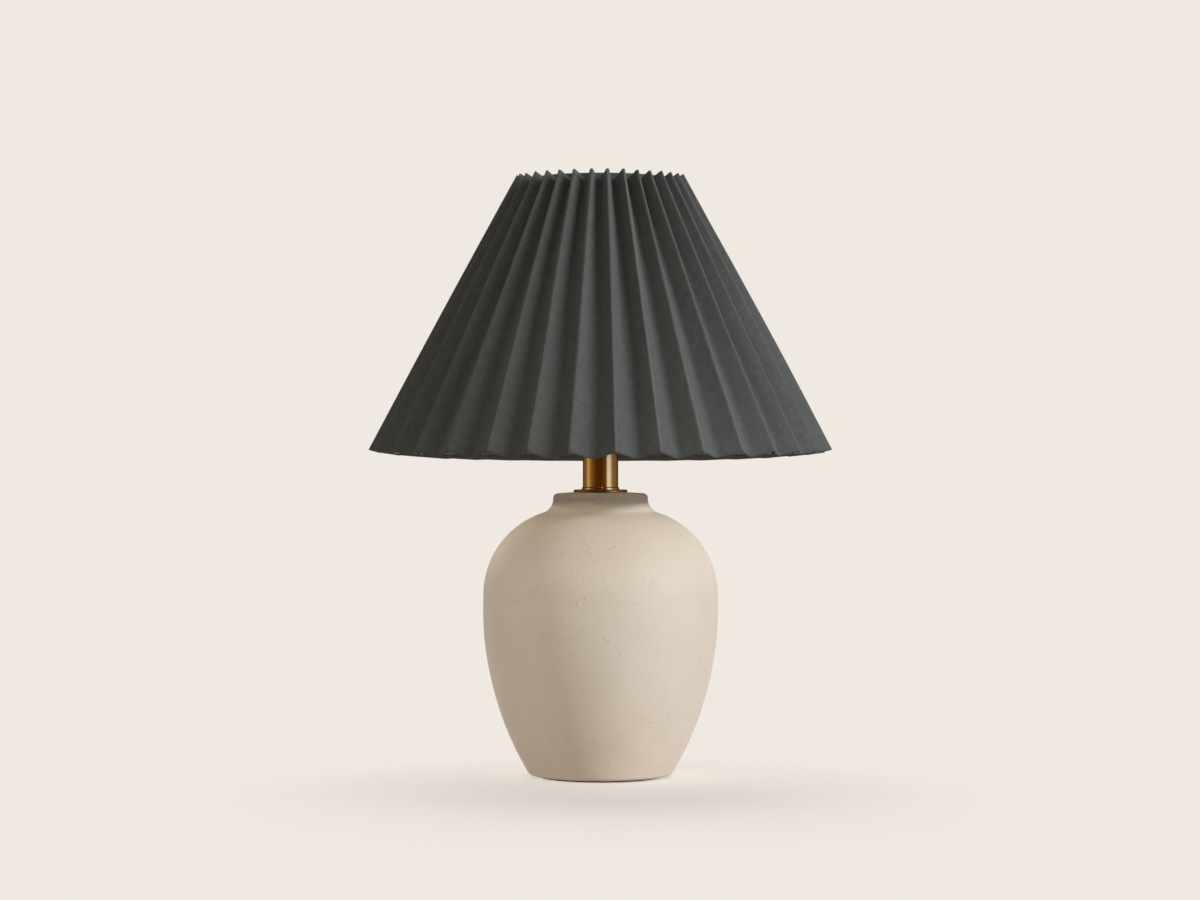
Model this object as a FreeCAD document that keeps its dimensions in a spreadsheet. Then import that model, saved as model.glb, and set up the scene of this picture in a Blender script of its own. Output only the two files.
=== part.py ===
import FreeCAD, Part
import math
import os
import Sketcher

# Table lamp with a hollow ceramic ginger jar, a brass neck and a pleated cone shade on a harp.
# Millimetres, +Z up, the origin on the table under the middle of the jar, the front towards -Y.

os.makedirs("parts", exist_ok=True)
doc = FreeCAD.newDocument("ginger_jar_lamp")
Vector = FreeCAD.Vector

# Driving dimensions, each set by itself
SIZES = {
    # Clearances, and how far a cut starts or ends outside the material
    "fit_gap": 0.1,
    "seat_gap": 0.2,
    "pivot_gap": 0.05,
    "lift_gap": 0.3,
    "cut_margin": 1,
    # Felt pad
    "felt_radius": 47,
    "felt_thickness": 1.5,
    # Jar
    "foot_radius": 54,
    "belly_radius": 89.2,
    "belly_low": 126.5,
    "belly_band": 10,
    "collar_radius": 36,
    "collar_height": 14.2,
    "jar_height": 215.1,
    "crown_radius": 24,
    "crown_rise": 1,
    "jar_wall": 6,
    "ceiling_thickness": 8,
    "recess_radius": 44,
    "recess_height": 16.5,
    "floor_thickness": 6,
    "collar_curve": 9,
    "rim_curve": 3.5,
    "foot_curve": 5,
    # Cord outlet at the back of the foot
    "outlet_height": 9.5,
    "outlet_radius": 4.8,
    "outlet_seat": 52.5,
    "flange_radius": 6.8,
    "flange_thickness": 2,
    "cord_bore": 3.2,
    # Threaded rod and what clamps it under the jar
    "rod_radius": 4.8,
    "rod_bore": 3.4,
    "rod_tail": 4,
    "base_washer_radius": 16,
    "base_washer_thickness": 1.6,
    "lock_washer_radius": 8,
    "lock_washer_thickness": 1.2,
    "lock_washer_split": 1.5,
    "nut_corner_radius": 8.1,
    "nut_thickness": 5,
    "bushing_wall": 1.5,
    "bushing_height": 3.6,
    "bushing_lip": 1,
    # Brass neck
    "neck_seat_radius": 20.5,
    "neck_seat_thickness": 1.4,
    "neck_radius": 13.45,
    "neck_wall": 1.2,
    "neck_height": 38,
    "neck_ring_radius": 14.3,
    "neck_ring_height": 2.8,
    "neck_cap_radius": 14.6,
    "neck_cap_thickness": 3,
    "neck_cap_spigot": 4,
    # Harp saddle
    "saddle_thickness": 1.5,
    "saddle_width": 14,
    "saddle_bend": 3,
    "ear_width": 4.5,
    "ear_height": 13,
    # Socket
    "cap_radius": 17.2,
    "cap_hub_radius": 8,
    "cap_hub_height": 3,
    "cap_height": 18,
    "cap_wall": 0.8,
    "cap_floor": 1.2,
    "rod_engagement": 6,
    "shell_wall": 0.5,
    "shell_lap": 5,
    "shell_rise": 37.5,
    "sleeve_wall": 0.7,
    "sleeve_setback": 1,
    "core_base": 9,
    "core_height": 22,
    "core_taper": 5.5,
    "contact_radius": 4,
    "contact_thickness": 1.8,
    "screw_bore_radius": 13.5,
    "screw_wall": 0.5,
    "screw_height": 22.5,
    # Turn switch
    "switch_height": 24.5,
    "switch_radius": 2,
    "switch_depth": 8,
    "switch_hole": 3.2,
    "knob_start": 20,
    "knob_radius": 6,
    "knob_length": 15,
    "knob_key_width": 5.4,
    "knob_key_start": 5,
    "knob_socket": 9,
    # Bulb
    "bulb_tip_radius": 4.5,
    "bulb_tip_height": 1.5,
    "bulb_insulator_height": 4,
    "bulb_thread_radius": 13.1,
    "bulb_thread_wall": 1.1,
    "bulb_thread_height": 20,
    "bulb_collar_base": 13.8,
    "bulb_collar_radius": 28.5,
    "bulb_collar_height": 26,
    "bulb_globe_radius": 30,
    "bulb_globe_belly": 13,
    "bulb_wall": 1.2,
    # Harp
    "harp_foot": 26,
    "harp_wire": 1.9,
    "harp_leg": 30,
    "harp_half_width": 49,
    "harp_bow": 110,
    "harp_height": 171.5,
    "harp_shoulder": 34,
    "harp_lift": 0.7,
    "eye_radius": 6,
    "eye_thickness": 3.8,
    "ferrule_wall": 0.9,
    "ferrule_height": 13,
    "ferrule_base": 3.5,
    # Swivel stud on top of the harp
    "pivot_radius": 2.5,
    "rivet_radius": 4,
    "rivet_height": 1.5,
    "stud_shoulder_radius": 6,
    "stud_shoulder_height": 1.8,
    "stud_radius": 3.1,
    "stud_length": 11.5,
    # Pleated shade: sharp fold lines of the cloth's middle surface
    "pleat_count": 33,
    "pleat_width": 19.2,
    "shade_hem_fold": 174.8,
    "shade_top_fold": 64.4,
    "shade_height": 211.1,
    "shade_top_rise": 11.2,
    "fold_radius": 1,
    "cloth": 0.8,
    "first_ridge_angle": -86.4,
    # Shade frame
    "band_thickness": 0.8,
    "band_height": 8,
    "spider_rise": 9.3,
    "top_ring_wire": 1.5,
    "hem_ring_rise": 5,
    "hem_ring_wire": 1.6,
    "strut_wire": 1.2,
    "arm_wire": 1.5,
    "first_arm_angle": 90,
    "hub_radius": 10,
    "hub_thickness": 1.2,
    # Finial
    "finial_base_radius": 6.2,
    "finial_base_height": 1.6,
    "finial_waist_radius": 4.8,
    "finial_waist_height": 3.4,
    "finial_height": 16.5,
}

# Places and radii that follow from the driving dimensions
PLACES = {
    # Jar, heights above its own foot
    "belly_high": "=Sizes.belly_low + Sizes.belly_band",
    "shoulder_height": "=Sizes.jar_height - Sizes.collar_height",
    "flank_curve": "=(Sizes.belly_low^2 + (Sizes.belly_radius - Sizes.foot_radius)^2)"
                   " / (2 * (Sizes.belly_radius - Sizes.foot_radius))",
    "shoulder_drop": "=Sizes.belly_radius - Sizes.collar_radius",
    "shoulder_curve": "=((shoulder_height - belly_high)^2 + shoulder_drop^2) / (2 * shoulder_drop)",
    "floor_top": "=Sizes.recess_height + Sizes.floor_thickness",
    "cavity_floor_radius": "=Sizes.belly_radius - flank_curve"
                           " + sqrt((flank_curve - Sizes.jar_wall)^2 - (Sizes.belly_low - floor_top)^2)",
    "cavity_belly": "=Sizes.belly_radius - Sizes.jar_wall",
    "cavity_neck": "=Sizes.collar_radius - Sizes.jar_wall",
    "cavity_neck_height": "=belly_high + sqrt((shoulder_curve - Sizes.jar_wall)^2"
                          " - (cavity_neck - Sizes.belly_radius + shoulder_curve)^2)",
    "cavity_top": "=Sizes.jar_height + Sizes.crown_rise - Sizes.ceiling_thickness",
    "rod_hole": "=Sizes.rod_radius + Sizes.seat_gap",
    "cut_through": "=4 * Sizes.belly_radius",
    # Stack above the table
    "jar_floor": "=Sizes.felt_thickness + Sizes.recess_height",
    "jar_top": "=Sizes.felt_thickness + Sizes.jar_height + Sizes.crown_rise",
    "outlet_axis": "=Sizes.felt_thickness + Sizes.outlet_height",
    "base_washer_place": "=jar_floor - Sizes.base_washer_thickness",
    "lock_washer_place": "=base_washer_place - Sizes.lock_washer_thickness",
    "nut_place": "=lock_washer_place - Sizes.nut_thickness",
    "rod_bottom": "=nut_place - Sizes.rod_tail",
    "bushing_place": "=rod_bottom - Sizes.bushing_lip",
    "neck_place": "=jar_top + Sizes.neck_seat_thickness",
    "neck_cap_place": "=neck_place + Sizes.neck_height",
    "saddle_place": "=neck_cap_place + Sizes.neck_cap_thickness",
    "cap_place": "=saddle_place + Sizes.saddle_thickness",
    "rod_length": "=cap_place + Sizes.rod_engagement - rod_bottom",
    # Socket
    "shell_place": "=cap_place + Sizes.cap_height - Sizes.shell_lap",
    "shell_outer": "=Sizes.cap_radius - Sizes.cap_wall - Sizes.fit_gap",
    "shell_height": "=Sizes.shell_lap + Sizes.shell_rise",
    "sleeve_outer": "=shell_outer - Sizes.shell_wall - Sizes.fit_gap",
    "sleeve_height": "=shell_height - Sizes.sleeve_setback",
    "core_radius": "=sleeve_outer - Sizes.sleeve_wall - Sizes.fit_gap",
    "core_place": "=cap_place + Sizes.core_base",
    "core_top": "=core_place + Sizes.core_height",
    "switch_axis": "=cap_place + Sizes.switch_height",
    "screw_outer": "=Sizes.screw_bore_radius + Sizes.screw_wall",
    # Bulb
    "bulb_place": "=core_top + Sizes.contact_thickness + Sizes.lift_gap",
    "bulb_insulator_place": "=bulb_place + Sizes.bulb_tip_height",
    "bulb_thread_place": "=bulb_insulator_place + Sizes.bulb_insulator_height",
    "bulb_collar_place": "=bulb_thread_place + Sizes.bulb_thread_height",
    "bulb_globe_place": "=bulb_collar_place + Sizes.bulb_collar_height",
    "bulb_insulator_radius": "=Sizes.bulb_thread_radius - Sizes.bulb_thread_wall - Sizes.fit_gap",
    "bulb_crown": "=Sizes.bulb_globe_belly + Sizes.bulb_globe_radius",
    # Harp and swivel stud
    "ear_outer": "=Sizes.harp_foot - Sizes.harp_wire - Sizes.fit_gap",
    "ear_inner": "=ear_outer - Sizes.saddle_thickness",
    "harp_place": "=cap_place + Sizes.harp_lift",
    "ferrule_centre": "=(ear_inner + Sizes.harp_foot + Sizes.harp_wire) / 2",
    "ferrule_bore": "=sqrt((ferrule_centre - ear_inner)^2 + (Sizes.ear_width / 2)^2) + Sizes.seat_gap",
    "ferrule_place": "=cap_place + Sizes.ferrule_base",
    "bow_half": "=(Sizes.harp_bow - Sizes.harp_leg) / 2",
    "bow_middle": "=Sizes.harp_leg + bow_half",
    "bow_span": "=Sizes.harp_half_width - Sizes.harp_foot",
    "bow_curve": "=(bow_span^2 + 4 * bow_half^2) / (4 * bow_span)",
    "bow_centre": "=Sizes.harp_foot + bow_span / 2",
    "eye_place": "=harp_place + Sizes.harp_height - Sizes.eye_thickness / 2",
    "pivot_length": "=Sizes.eye_thickness + 2 * Sizes.fit_gap",
    "stud_place": "=eye_place - Sizes.fit_gap - Sizes.rivet_height",
    "stud_seat": "=stud_place + Sizes.rivet_height + pivot_length + Sizes.stud_shoulder_height",
    "eye_bore": "=Sizes.pivot_radius + Sizes.pivot_gap",
    "hub_place": "=stud_seat + Sizes.seat_gap",
    "hub_bore": "=Sizes.stud_radius + Sizes.lift_gap",
    "finial_place": "=hub_place + Sizes.hub_thickness + Sizes.seat_gap",
    "finial_bore": "=Sizes.stud_radius + Sizes.pivot_gap",
    "finial_bore_depth": "=stud_seat + Sizes.stud_length + Sizes.lift_gap - finial_place",
    "finial_ball": "=(Sizes.finial_waist_radius^2 + (Sizes.finial_height - Sizes.finial_waist_height)^2)"
                   " / (2 * (Sizes.finial_height - Sizes.finial_waist_height))",
    # Shade: the spider's hub carries the top ring, which carries the cloth
    "top_ring_height": "=hub_place + Sizes.spider_rise",
    "shade_top_height": "=top_ring_height + Sizes.shade_top_rise",
    "shade_hem_height": "=shade_top_height - Sizes.shade_height",
    # Pleats: how far each valley fold lies inside its ridge, from the panel's width
    "half_pitch": "=180 / Sizes.pleat_count",
    "shade_run": "=Sizes.shade_hem_fold - Sizes.shade_top_fold",
    "lean": "=shade_run / Sizes.shade_height",
    "lean_square": "=1 + lean^2",
    "lean_cos": "=1 / sqrt(lean_square)",
    "pitch_loss": "=1 - cos(half_pitch)",
    "hem_depth": "=(Sizes.shade_hem_fold * pitch_loss + sqrt((Sizes.shade_hem_fold * pitch_loss)^2 + lean_square"
                 " * (Sizes.pleat_width^2 - 2 * pitch_loss * Sizes.shade_hem_fold^2))) / lean_square",
    "top_depth": "=(Sizes.shade_top_fold * pitch_loss + sqrt((Sizes.shade_top_fold * pitch_loss)^2 + lean_square"
                 " * (Sizes.pleat_width^2 - 2 * pitch_loss * Sizes.shade_top_fold^2))) / lean_square",
    "hem_valley": "=Sizes.shade_hem_fold - hem_depth",
    "top_valley": "=Sizes.shade_top_fold - top_depth",
    "hem_valley_height": "=shade_hem_height - hem_depth * lean",
    "top_valley_height": "=shade_top_height - top_depth * lean",
    # Inner crest of the rounded valleys, which the frame lies against
    "hem_valley_cos": "=((Sizes.shade_hem_fold * cos(half_pitch) - hem_valley) * lean_cos"
                      " + hem_depth * lean^2 * lean_cos) / Sizes.pleat_width",
    "top_valley_cos": "=((Sizes.shade_top_fold * cos(half_pitch) - top_valley) * lean_cos"
                      " + top_depth * lean^2 * lean_cos) / Sizes.pleat_width",
    "hem_crest": "=hem_valley + lean_cos * (Sizes.fold_radius / sqrt(1 - hem_valley_cos^2)"
                 " - Sizes.fold_radius - Sizes.cloth / 2)",
    "top_crest": "=top_valley + lean_cos * (Sizes.fold_radius / sqrt(1 - top_valley_cos^2)"
                 " - Sizes.fold_radius - Sizes.cloth / 2)",
    "crest_lean": "=(hem_crest - top_crest) / (top_valley_height - hem_valley_height)",
    "crest_slant": "=sqrt(1 + crest_lean^2)",
    "band_outer": "=top_crest - Sizes.seat_gap",
    "band_inner": "=band_outer - Sizes.band_thickness",
    "top_ring_radius": "=band_inner - Sizes.fit_gap - Sizes.top_ring_wire",
    "hem_ring_height": "=hem_valley_height + Sizes.hem_ring_rise",
    "hem_ring_radius": "=hem_crest - Sizes.hem_ring_rise * crest_lean"
                       " - (Sizes.hem_ring_wire + Sizes.seat_gap) * crest_slant",
    "strut_run": "=hem_ring_radius - top_ring_radius",
    "strut_rise": "=top_ring_height - hem_ring_height",
    "strut_span": "=sqrt(strut_run^2 + strut_rise^2)",
    "strut_length": "=strut_span - Sizes.top_ring_wire - Sizes.hem_ring_wire - 2 * Sizes.fit_gap",
    "arm_base": "=hub_place + Sizes.hub_thickness / 2",
    "arm_start": "=Sizes.hub_radius + Sizes.seat_gap",
    "arm_run": "=top_ring_radius - arm_start",
    "arm_rise": "=top_ring_height - arm_base",
    "arm_length": "=sqrt(arm_run^2 + arm_rise^2) - Sizes.top_ring_wire - Sizes.seat_gap",
}

# Three wires of the frame stand at every third of a turn
FRAME_WIRES = 3

# Points and edges that lie closer than this are the same one
SAME_PLACE = 0.01


def fill_sheet(name, cells):
    """Spreadsheet with a name in column A and its value or formula, under that alias, in column B"""
    sheet = doc.addObject("Spreadsheet::Sheet", name)
    for row, (alias, value) in enumerate(cells.items(), start=1):
        sheet.set("A%d" % row, alias)
        sheet.set("B%d" % row, str(value))
        sheet.setAlias("B%d" % row, alias)
    doc.recompute()
    return sheet


sizes = fill_sheet("Sizes", SIZES)
places = fill_sheet("Places", PLACES)


def value(expression):
    """Number that an expression on the two sheets gives"""
    return float(places.evalExpression(expression))


def origin_plane(body, role):
    """Origin plane of a body, such as XZ_Plane"""
    for feature in body.Origin.OriginFeatures:
        if feature.Role == role:
            return feature


def new_body(label):
    """Empty body for one sub-part"""
    body = doc.addObject("PartDesign::Body", label)
    body.Label = label
    return body


def new_sketch(body, name, role="XZ_Plane"):
    """Sketch on one of the body's own origin planes"""
    sketch = body.newObject("Sketcher::SketchObject", name)
    sketch.AttachmentSupport = [(origin_plane(body, role), "")]
    sketch.MapMode = "FlatFace"
    return sketch


def bind(sketch, kind, references, expression):
    """Dimension of a sketch, bound to the sheets"""
    size = value(expression)
    index = sketch.addConstraint(Sketcher.Constraint(kind, *references, size))
    sketch.setExpression("Constraints[%d]" % index, expression)


def fix_point(sketch, edge, point, across, up):
    """Hold a point of an edge at its distances from the sketch's origin"""
    if across == "0":
        sketch.addConstraint(Sketcher.Constraint("PointOnObject", edge, point, -2))
    else:
        bind(sketch, "DistanceX", (-1, 1, edge, point), across)
    if up == "0":
        sketch.addConstraint(Sketcher.Constraint("PointOnObject", edge, point, -1))
    else:
        bind(sketch, "DistanceY", (-1, 1, edge, point), up)


def arc_middle(start, end, radius, side):
    """Point halfway along a short arc from start to end; side 1 bulges to the right of the way, -1 to the left"""
    chord = end - start
    half = chord.Length / 2
    rise = radius - math.sqrt(max(radius * radius - half * half, 0))
    right = Vector(chord.y, -chord.x, 0).normalize()
    return (start + end) * 0.5 + right * (rise * side)


def draw_outline(sketch, corners, closed=True):
    """Outline through corners (across, up), or (across, up, radius, side) where an arc leads on"""
    points = [Vector(value(corner[0]), value(corner[1]), 0) for corner in corners]
    count = len(corners) if closed else len(corners) - 1
    ends = []
    for index in range(count):
        corner = corners[index]
        start = points[index]
        end = points[(index + 1) % len(points)]
        if len(corner) == 4:
            middle = arc_middle(start, end, value(corner[2]), corner[3])
            arc = Part.Arc(start, middle, end)
            edge = sketch.addGeometry(arc, False)
            near, far = arc_ends(sketch, edge, start)
            bind(sketch, "Radius", (edge,), corner[2])
        else:
            edge = sketch.addGeometry(Part.LineSegment(start, end), False)
            near, far = 1, 2
        ends.append((edge, near, far))
    for index, (edge, near, far) in enumerate(ends):
        fix_point(sketch, edge, near, corners[index][0], corners[index][1])
        if index + 1 < count or closed:
            following = ends[(index + 1) % count]
            sketch.addConstraint(Sketcher.Constraint("Coincident", edge, far, following[0], following[1]))
        else:
            fix_point(sketch, edge, far, corners[-1][0], corners[-1][1])


def arc_ends(sketch, edge, start):
    """Numbers of the end of an arc that lies at start, and of its other end"""
    if sketch.getPoint(edge, 1).distanceToPoint(start) < SAME_PLACE:
        return 1, 2
    return 2, 1


def add_turned(body, name, corners, kind="PartDesign::Revolution"):
    """Solid of revolution, or a groove, from a half outline beside the upright axis"""
    sketch = new_sketch(body, name + "_outline")
    draw_outline(sketch, corners)
    before = body.Shape.Volume if kind == "PartDesign::Groove" else 0
    feature = body.newObject(kind, name)
    feature.Profile = sketch
    feature.ReferenceAxis = (sketch, ["V_Axis"])
    feature.Angle = 360
    sketch.Visibility = False
    doc.recompute()
    if kind == "PartDesign::Groove" and not body.Shape.Volume < before:
        raise RuntimeError(name + " cuts nothing")
    return feature


def add_rounding(body, name, rings, radius, kind="PartDesign::Fillet"):
    """Fillet or chamfer on the round edges that lie at each (radius, height)"""
    base = body.Tip
    edges = []
    for ring_radius, ring_height in rings:
        for number, edge in enumerate(base.Shape.Edges, start=1):
            if not isinstance(edge.Curve, Part.Circle):
                continue
            off_radius = abs(edge.Curve.Radius - value(ring_radius))
            off_height = abs(edge.Curve.Center.z - value(ring_height))
            if off_radius < SAME_PLACE and off_height < SAME_PLACE:
                edges.append("Edge%d" % number)
    feature = body.newObject(kind, name)
    feature.Base = (base, edges)
    feature.setExpression("Radius" if kind == "PartDesign::Fillet" else "Size", radius)
    doc.recompute()
    return feature


def place(item, up="0", across="0", back="0"):
    """Seat a sub-part at a height, and where needed off the lamp's axis"""
    item.setExpression("Placement.Base.x", across)
    item.setExpression("Placement.Base.y", back)
    item.setExpression("Placement.Base.z", up)


def turned_part(label, corners, up):
    """Sub-part turned about the lamp's axis"""
    body = new_body(label)
    add_turned(body, label + "_turned", corners)
    place(body, up)
    return body


def ring_outline(bore, outer, height):
    """Half outline of a plain ring"""
    return [(bore, "0"), (outer, "0"), (outer, height), (bore, height)]


def add_pocket(body, name, sketch, depth, both_ways=False):
    """Straight cut from a sketch, checked to remove material"""
    before = body.Shape.Volume
    feature = body.newObject("PartDesign::Pocket", name)
    feature.Profile = sketch
    feature.Midplane = both_ways
    feature.setExpression("Length", depth)
    doc.recompute()
    if not body.Shape.Volume < before:
        raise RuntimeError(name + " cuts nothing")
    return feature


def draw_circle(sketch, radius, across="0", up="0"):
    """Circle of a bound radius at a bound centre"""
    circle = Part.Circle(Vector(value(across), value(up), 0), Vector(0, 0, 1), value(radius))
    edge = sketch.addGeometry(circle, False)
    fix_point(sketch, edge, 3, across, up)
    bind(sketch, "Radius", (edge,), radius)


# Felt pad under the foot
felt = doc.addObject("Part::Cylinder", "base_felt")
felt.Label = "base_felt"
felt.setExpression("Radius", "Sizes.felt_radius")
felt.setExpression("Height", "Sizes.felt_thickness")

# Ceramic jar: belly of two arcs, collar, shallow crown, hollow inside and recessed underneath
jar = new_body("ceramic_jar")
add_turned(jar, "jar_outside", [
    ("0", "0"),
    ("Sizes.foot_radius", "0", "Places.flank_curve", 1),
    ("Sizes.belly_radius", "Sizes.belly_low"),
    ("Sizes.belly_radius", "Places.belly_high", "Places.shoulder_curve", 1),
    ("Sizes.collar_radius", "Places.shoulder_height"),
    ("Sizes.collar_radius", "Sizes.jar_height"),
    ("Sizes.crown_radius", "Sizes.jar_height + Sizes.crown_rise"),
    ("0", "Sizes.jar_height + Sizes.crown_rise"),
])
add_rounding(jar, "collar_fillet", [("Sizes.collar_radius", "Places.shoulder_height")], "Sizes.collar_curve")
add_rounding(jar, "rim_fillet", [("Sizes.collar_radius", "Sizes.jar_height")], "Sizes.rim_curve")
add_rounding(jar, "foot_fillet", [("Sizes.foot_radius", "0")], "Sizes.foot_curve")
add_turned(jar, "jar_hollow", [
    ("0", "Places.floor_top"),
    ("Places.cavity_floor_radius", "Places.floor_top", "Places.flank_curve - Sizes.jar_wall", 1),
    ("Places.cavity_belly", "Sizes.belly_low"),
    ("Places.cavity_belly", "Places.belly_high", "Places.shoulder_curve - Sizes.jar_wall", 1),
    ("Places.cavity_neck", "Places.cavity_neck_height"),
    ("Places.cavity_neck", "Places.cavity_top"),
    ("0", "Places.cavity_top"),
], "PartDesign::Groove")
add_turned(jar, "foot_recess", [
    ("0", "0"),
    ("Sizes.recess_radius", "0"),
    ("Sizes.recess_radius", "Sizes.recess_height"),
    ("0", "Sizes.recess_height"),
], "PartDesign::Groove")
add_turned(jar, "rod_hole", [
    ("0", "0"),
    ("Places.rod_hole", "0"),
    ("Places.rod_hole", "Sizes.jar_height + Sizes.crown_rise"),
    ("0", "Sizes.jar_height + Sizes.crown_rise"),
], "PartDesign::Groove")
outlet_sketch = new_sketch(jar, "outlet_circle")
draw_circle(outlet_sketch, "Sizes.outlet_radius", "0", "Sizes.outlet_height")
add_pocket(jar, "outlet_hole", outlet_sketch, "Sizes.belly_radius")
seat_sketch = new_sketch(jar, "outlet_seat_circle")
draw_circle(seat_sketch, "Sizes.flange_radius + Sizes.seat_gap", "0", "Sizes.outlet_height")
seat_sketch.setExpression("AttachmentOffset.Base.z", "-Sizes.outlet_seat")
add_pocket(jar, "outlet_seat", seat_sketch, "Sizes.belly_radius - Sizes.outlet_seat")
place(jar, "Sizes.felt_thickness")

# Grommet that lines the cord outlet, turned about the outlet's own axis
grommet = new_body("cord_grommet")
add_turned(grommet, "grommet_turned", [
    ("Sizes.cord_bore", "0"),
    ("Sizes.outlet_radius - Sizes.fit_gap", "0"),
    ("Sizes.outlet_radius - Sizes.fit_gap", "Sizes.outlet_seat - Sizes.recess_radius"),
    ("Sizes.flange_radius", "Sizes.outlet_seat - Sizes.recess_radius"),
    ("Sizes.flange_radius", "Sizes.outlet_seat - Sizes.recess_radius + Sizes.flange_thickness"),
    ("Sizes.cord_bore", "Sizes.outlet_seat - Sizes.recess_radius + Sizes.flange_thickness"),
])
grommet.Placement.Rotation = FreeCAD.Rotation(Vector(1, 0, 0), -90)
place(grommet, "Places.outlet_axis", "0", "Sizes.recess_radius")

# Washers, nut and end bushing on the rod, under the jar's floor
turned_part("base_washer", ring_outline("Places.rod_hole", "Sizes.base_washer_radius", "Sizes.base_washer_thickness"),
            "Places.base_washer_place")

lock_ring = doc.addObject("Part::Cylinder", "lock_ring")
lock_ring.setExpression("Radius", "Sizes.lock_washer_radius")
lock_ring.setExpression("Height", "Sizes.lock_washer_thickness")
lock_bore = doc.addObject("Part::Cylinder", "lock_bore")
lock_bore.setExpression("Radius", "Places.rod_hole")
lock_bore.setExpression("Height", "Sizes.lock_washer_thickness")
lock_split = doc.addObject("Part::Box", "lock_split")
lock_split.setExpression("Length", "Sizes.lock_washer_radius")
lock_split.setExpression("Width", "Sizes.lock_washer_split")
lock_split.setExpression("Height", "Sizes.lock_washer_thickness")
lock_split.setExpression("Placement.Base.y", "-Sizes.lock_washer_split / 2")
lock_cuts = doc.addObject("Part::MultiFuse", "lock_cuts")
lock_cuts.Shapes = [lock_bore, lock_split]
lock_washer = doc.addObject("Part::Cut", "lock_washer")
lock_washer.Label = "lock_washer"
lock_washer.Base = lock_ring
lock_washer.Tool = lock_cuts
place(lock_washer, "Places.lock_washer_place")

nut_blank = doc.addObject("Part::Prism", "nut_blank")
nut_blank.Polygon = 6
nut_blank.setExpression("Circumradius", "Sizes.nut_corner_radius")
nut_blank.setExpression("Height", "Sizes.nut_thickness")
nut_bore = doc.addObject("Part::Cylinder", "nut_bore")
nut_bore.setExpression("Radius", "Sizes.rod_radius + Sizes.fit_gap")
nut_bore.setExpression("Height", "Sizes.nut_thickness")
rod_nut = doc.addObject("Part::Cut", "rod_nut")
rod_nut.Label = "rod_nut"
rod_nut.Base = nut_blank
rod_nut.Tool = nut_bore
place(rod_nut, "Places.nut_place")

turned_part("rod_bushing", [
    ("Sizes.rod_bore", "0"),
    ("Sizes.rod_radius + Sizes.bushing_wall", "0"),
    ("Sizes.rod_radius + Sizes.bushing_wall", "Sizes.bushing_height"),
    ("Sizes.rod_radius + Sizes.fit_gap", "Sizes.bushing_height"),
    ("Sizes.rod_radius + Sizes.fit_gap", "Sizes.bushing_lip"),
    ("Sizes.rod_bore", "Sizes.bushing_lip"),
], "Places.bushing_place")

# Hollow rod that clamps the whole stack and carries the cord to the socket
turned_part("lamp_rod", ring_outline("Sizes.rod_bore", "Sizes.rod_radius", "Places.rod_length"), "Places.rod_bottom")

# Brass neck on its dark seat
neck_seat = turned_part("neck_seat", ring_outline("Places.rod_hole", "Sizes.neck_seat_radius",
                                                  "Sizes.neck_seat_thickness"), "Places.jar_top")
add_rounding(neck_seat, "seat_edge", [("Sizes.neck_seat_radius", "Sizes.neck_seat_thickness")],
             "Sizes.neck_seat_thickness / 3")
turned_part("neck_tube", ring_outline("Sizes.neck_radius - Sizes.neck_wall", "Sizes.neck_radius",
                                      "Sizes.neck_height"), "Places.neck_place")
neck_ring = turned_part("neck_base_ring", ring_outline("Sizes.neck_radius + Sizes.pivot_gap",
                                                       "Sizes.neck_ring_radius", "Sizes.neck_ring_height"),
                        "Places.neck_place")
add_rounding(neck_ring, "ring_edge", [("Sizes.neck_ring_radius", "Sizes.neck_ring_height")],
             "(Sizes.neck_ring_radius - Sizes.neck_radius) / 2")
neck_cap = turned_part("neck_cap", [
    ("Places.rod_hole", "0"),
    ("Places.rod_hole", "-Sizes.neck_cap_spigot"),
    ("Sizes.neck_radius - Sizes.neck_wall - Sizes.fit_gap", "-Sizes.neck_cap_spigot"),
    ("Sizes.neck_radius - Sizes.neck_wall - Sizes.fit_gap", "0"),
    ("Sizes.neck_cap_radius", "0"),
    ("Sizes.neck_cap_radius", "Sizes.neck_cap_thickness"),
    ("Places.rod_hole", "Sizes.neck_cap_thickness"),
], "Places.neck_cap_place")
add_rounding(neck_cap, "cap_edge", [("Sizes.neck_cap_radius", "Sizes.neck_cap_thickness")],
             "Sizes.neck_cap_thickness / 2")

# Saddle: a bent strip whose two narrow ears hold the harp's legs
saddle = new_body("harp_saddle")
saddle_sketch = new_sketch(saddle, "saddle_strip")
EAR_TOP = "Sizes.saddle_thickness + Sizes.ear_height"
TRIM_TOP = EAR_TOP + " + Sizes.cut_margin"
draw_outline(saddle_sketch, [
    ("-Places.ear_outer + Sizes.saddle_bend", "0"),
    ("Places.ear_outer - Sizes.saddle_bend", "0", "Sizes.saddle_bend", 1),
    ("Places.ear_outer", "Sizes.saddle_bend"),
    ("Places.ear_outer", EAR_TOP),
    ("Places.ear_inner", EAR_TOP),
    ("Places.ear_inner", "Sizes.saddle_bend", "Sizes.saddle_bend - Sizes.saddle_thickness", -1),
    ("Places.ear_outer - Sizes.saddle_bend", "Sizes.saddle_thickness"),
    ("-Places.ear_outer + Sizes.saddle_bend", "Sizes.saddle_thickness",
     "Sizes.saddle_bend - Sizes.saddle_thickness", -1),
    ("-Places.ear_inner", "Sizes.saddle_bend"),
    ("-Places.ear_inner", EAR_TOP),
    ("-Places.ear_outer", EAR_TOP),
    ("-Places.ear_outer", "Sizes.saddle_bend", "Sizes.saddle_bend", 1),
])
saddle_pad = saddle.newObject("PartDesign::Pad", "saddle_pad")
saddle_pad.Profile = saddle_sketch
saddle_pad.Midplane = True
saddle_pad.setExpression("Length", "Sizes.saddle_width")
doc.recompute()
ear_sketch = new_sketch(saddle, "ear_sides", "YZ_Plane")
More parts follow.
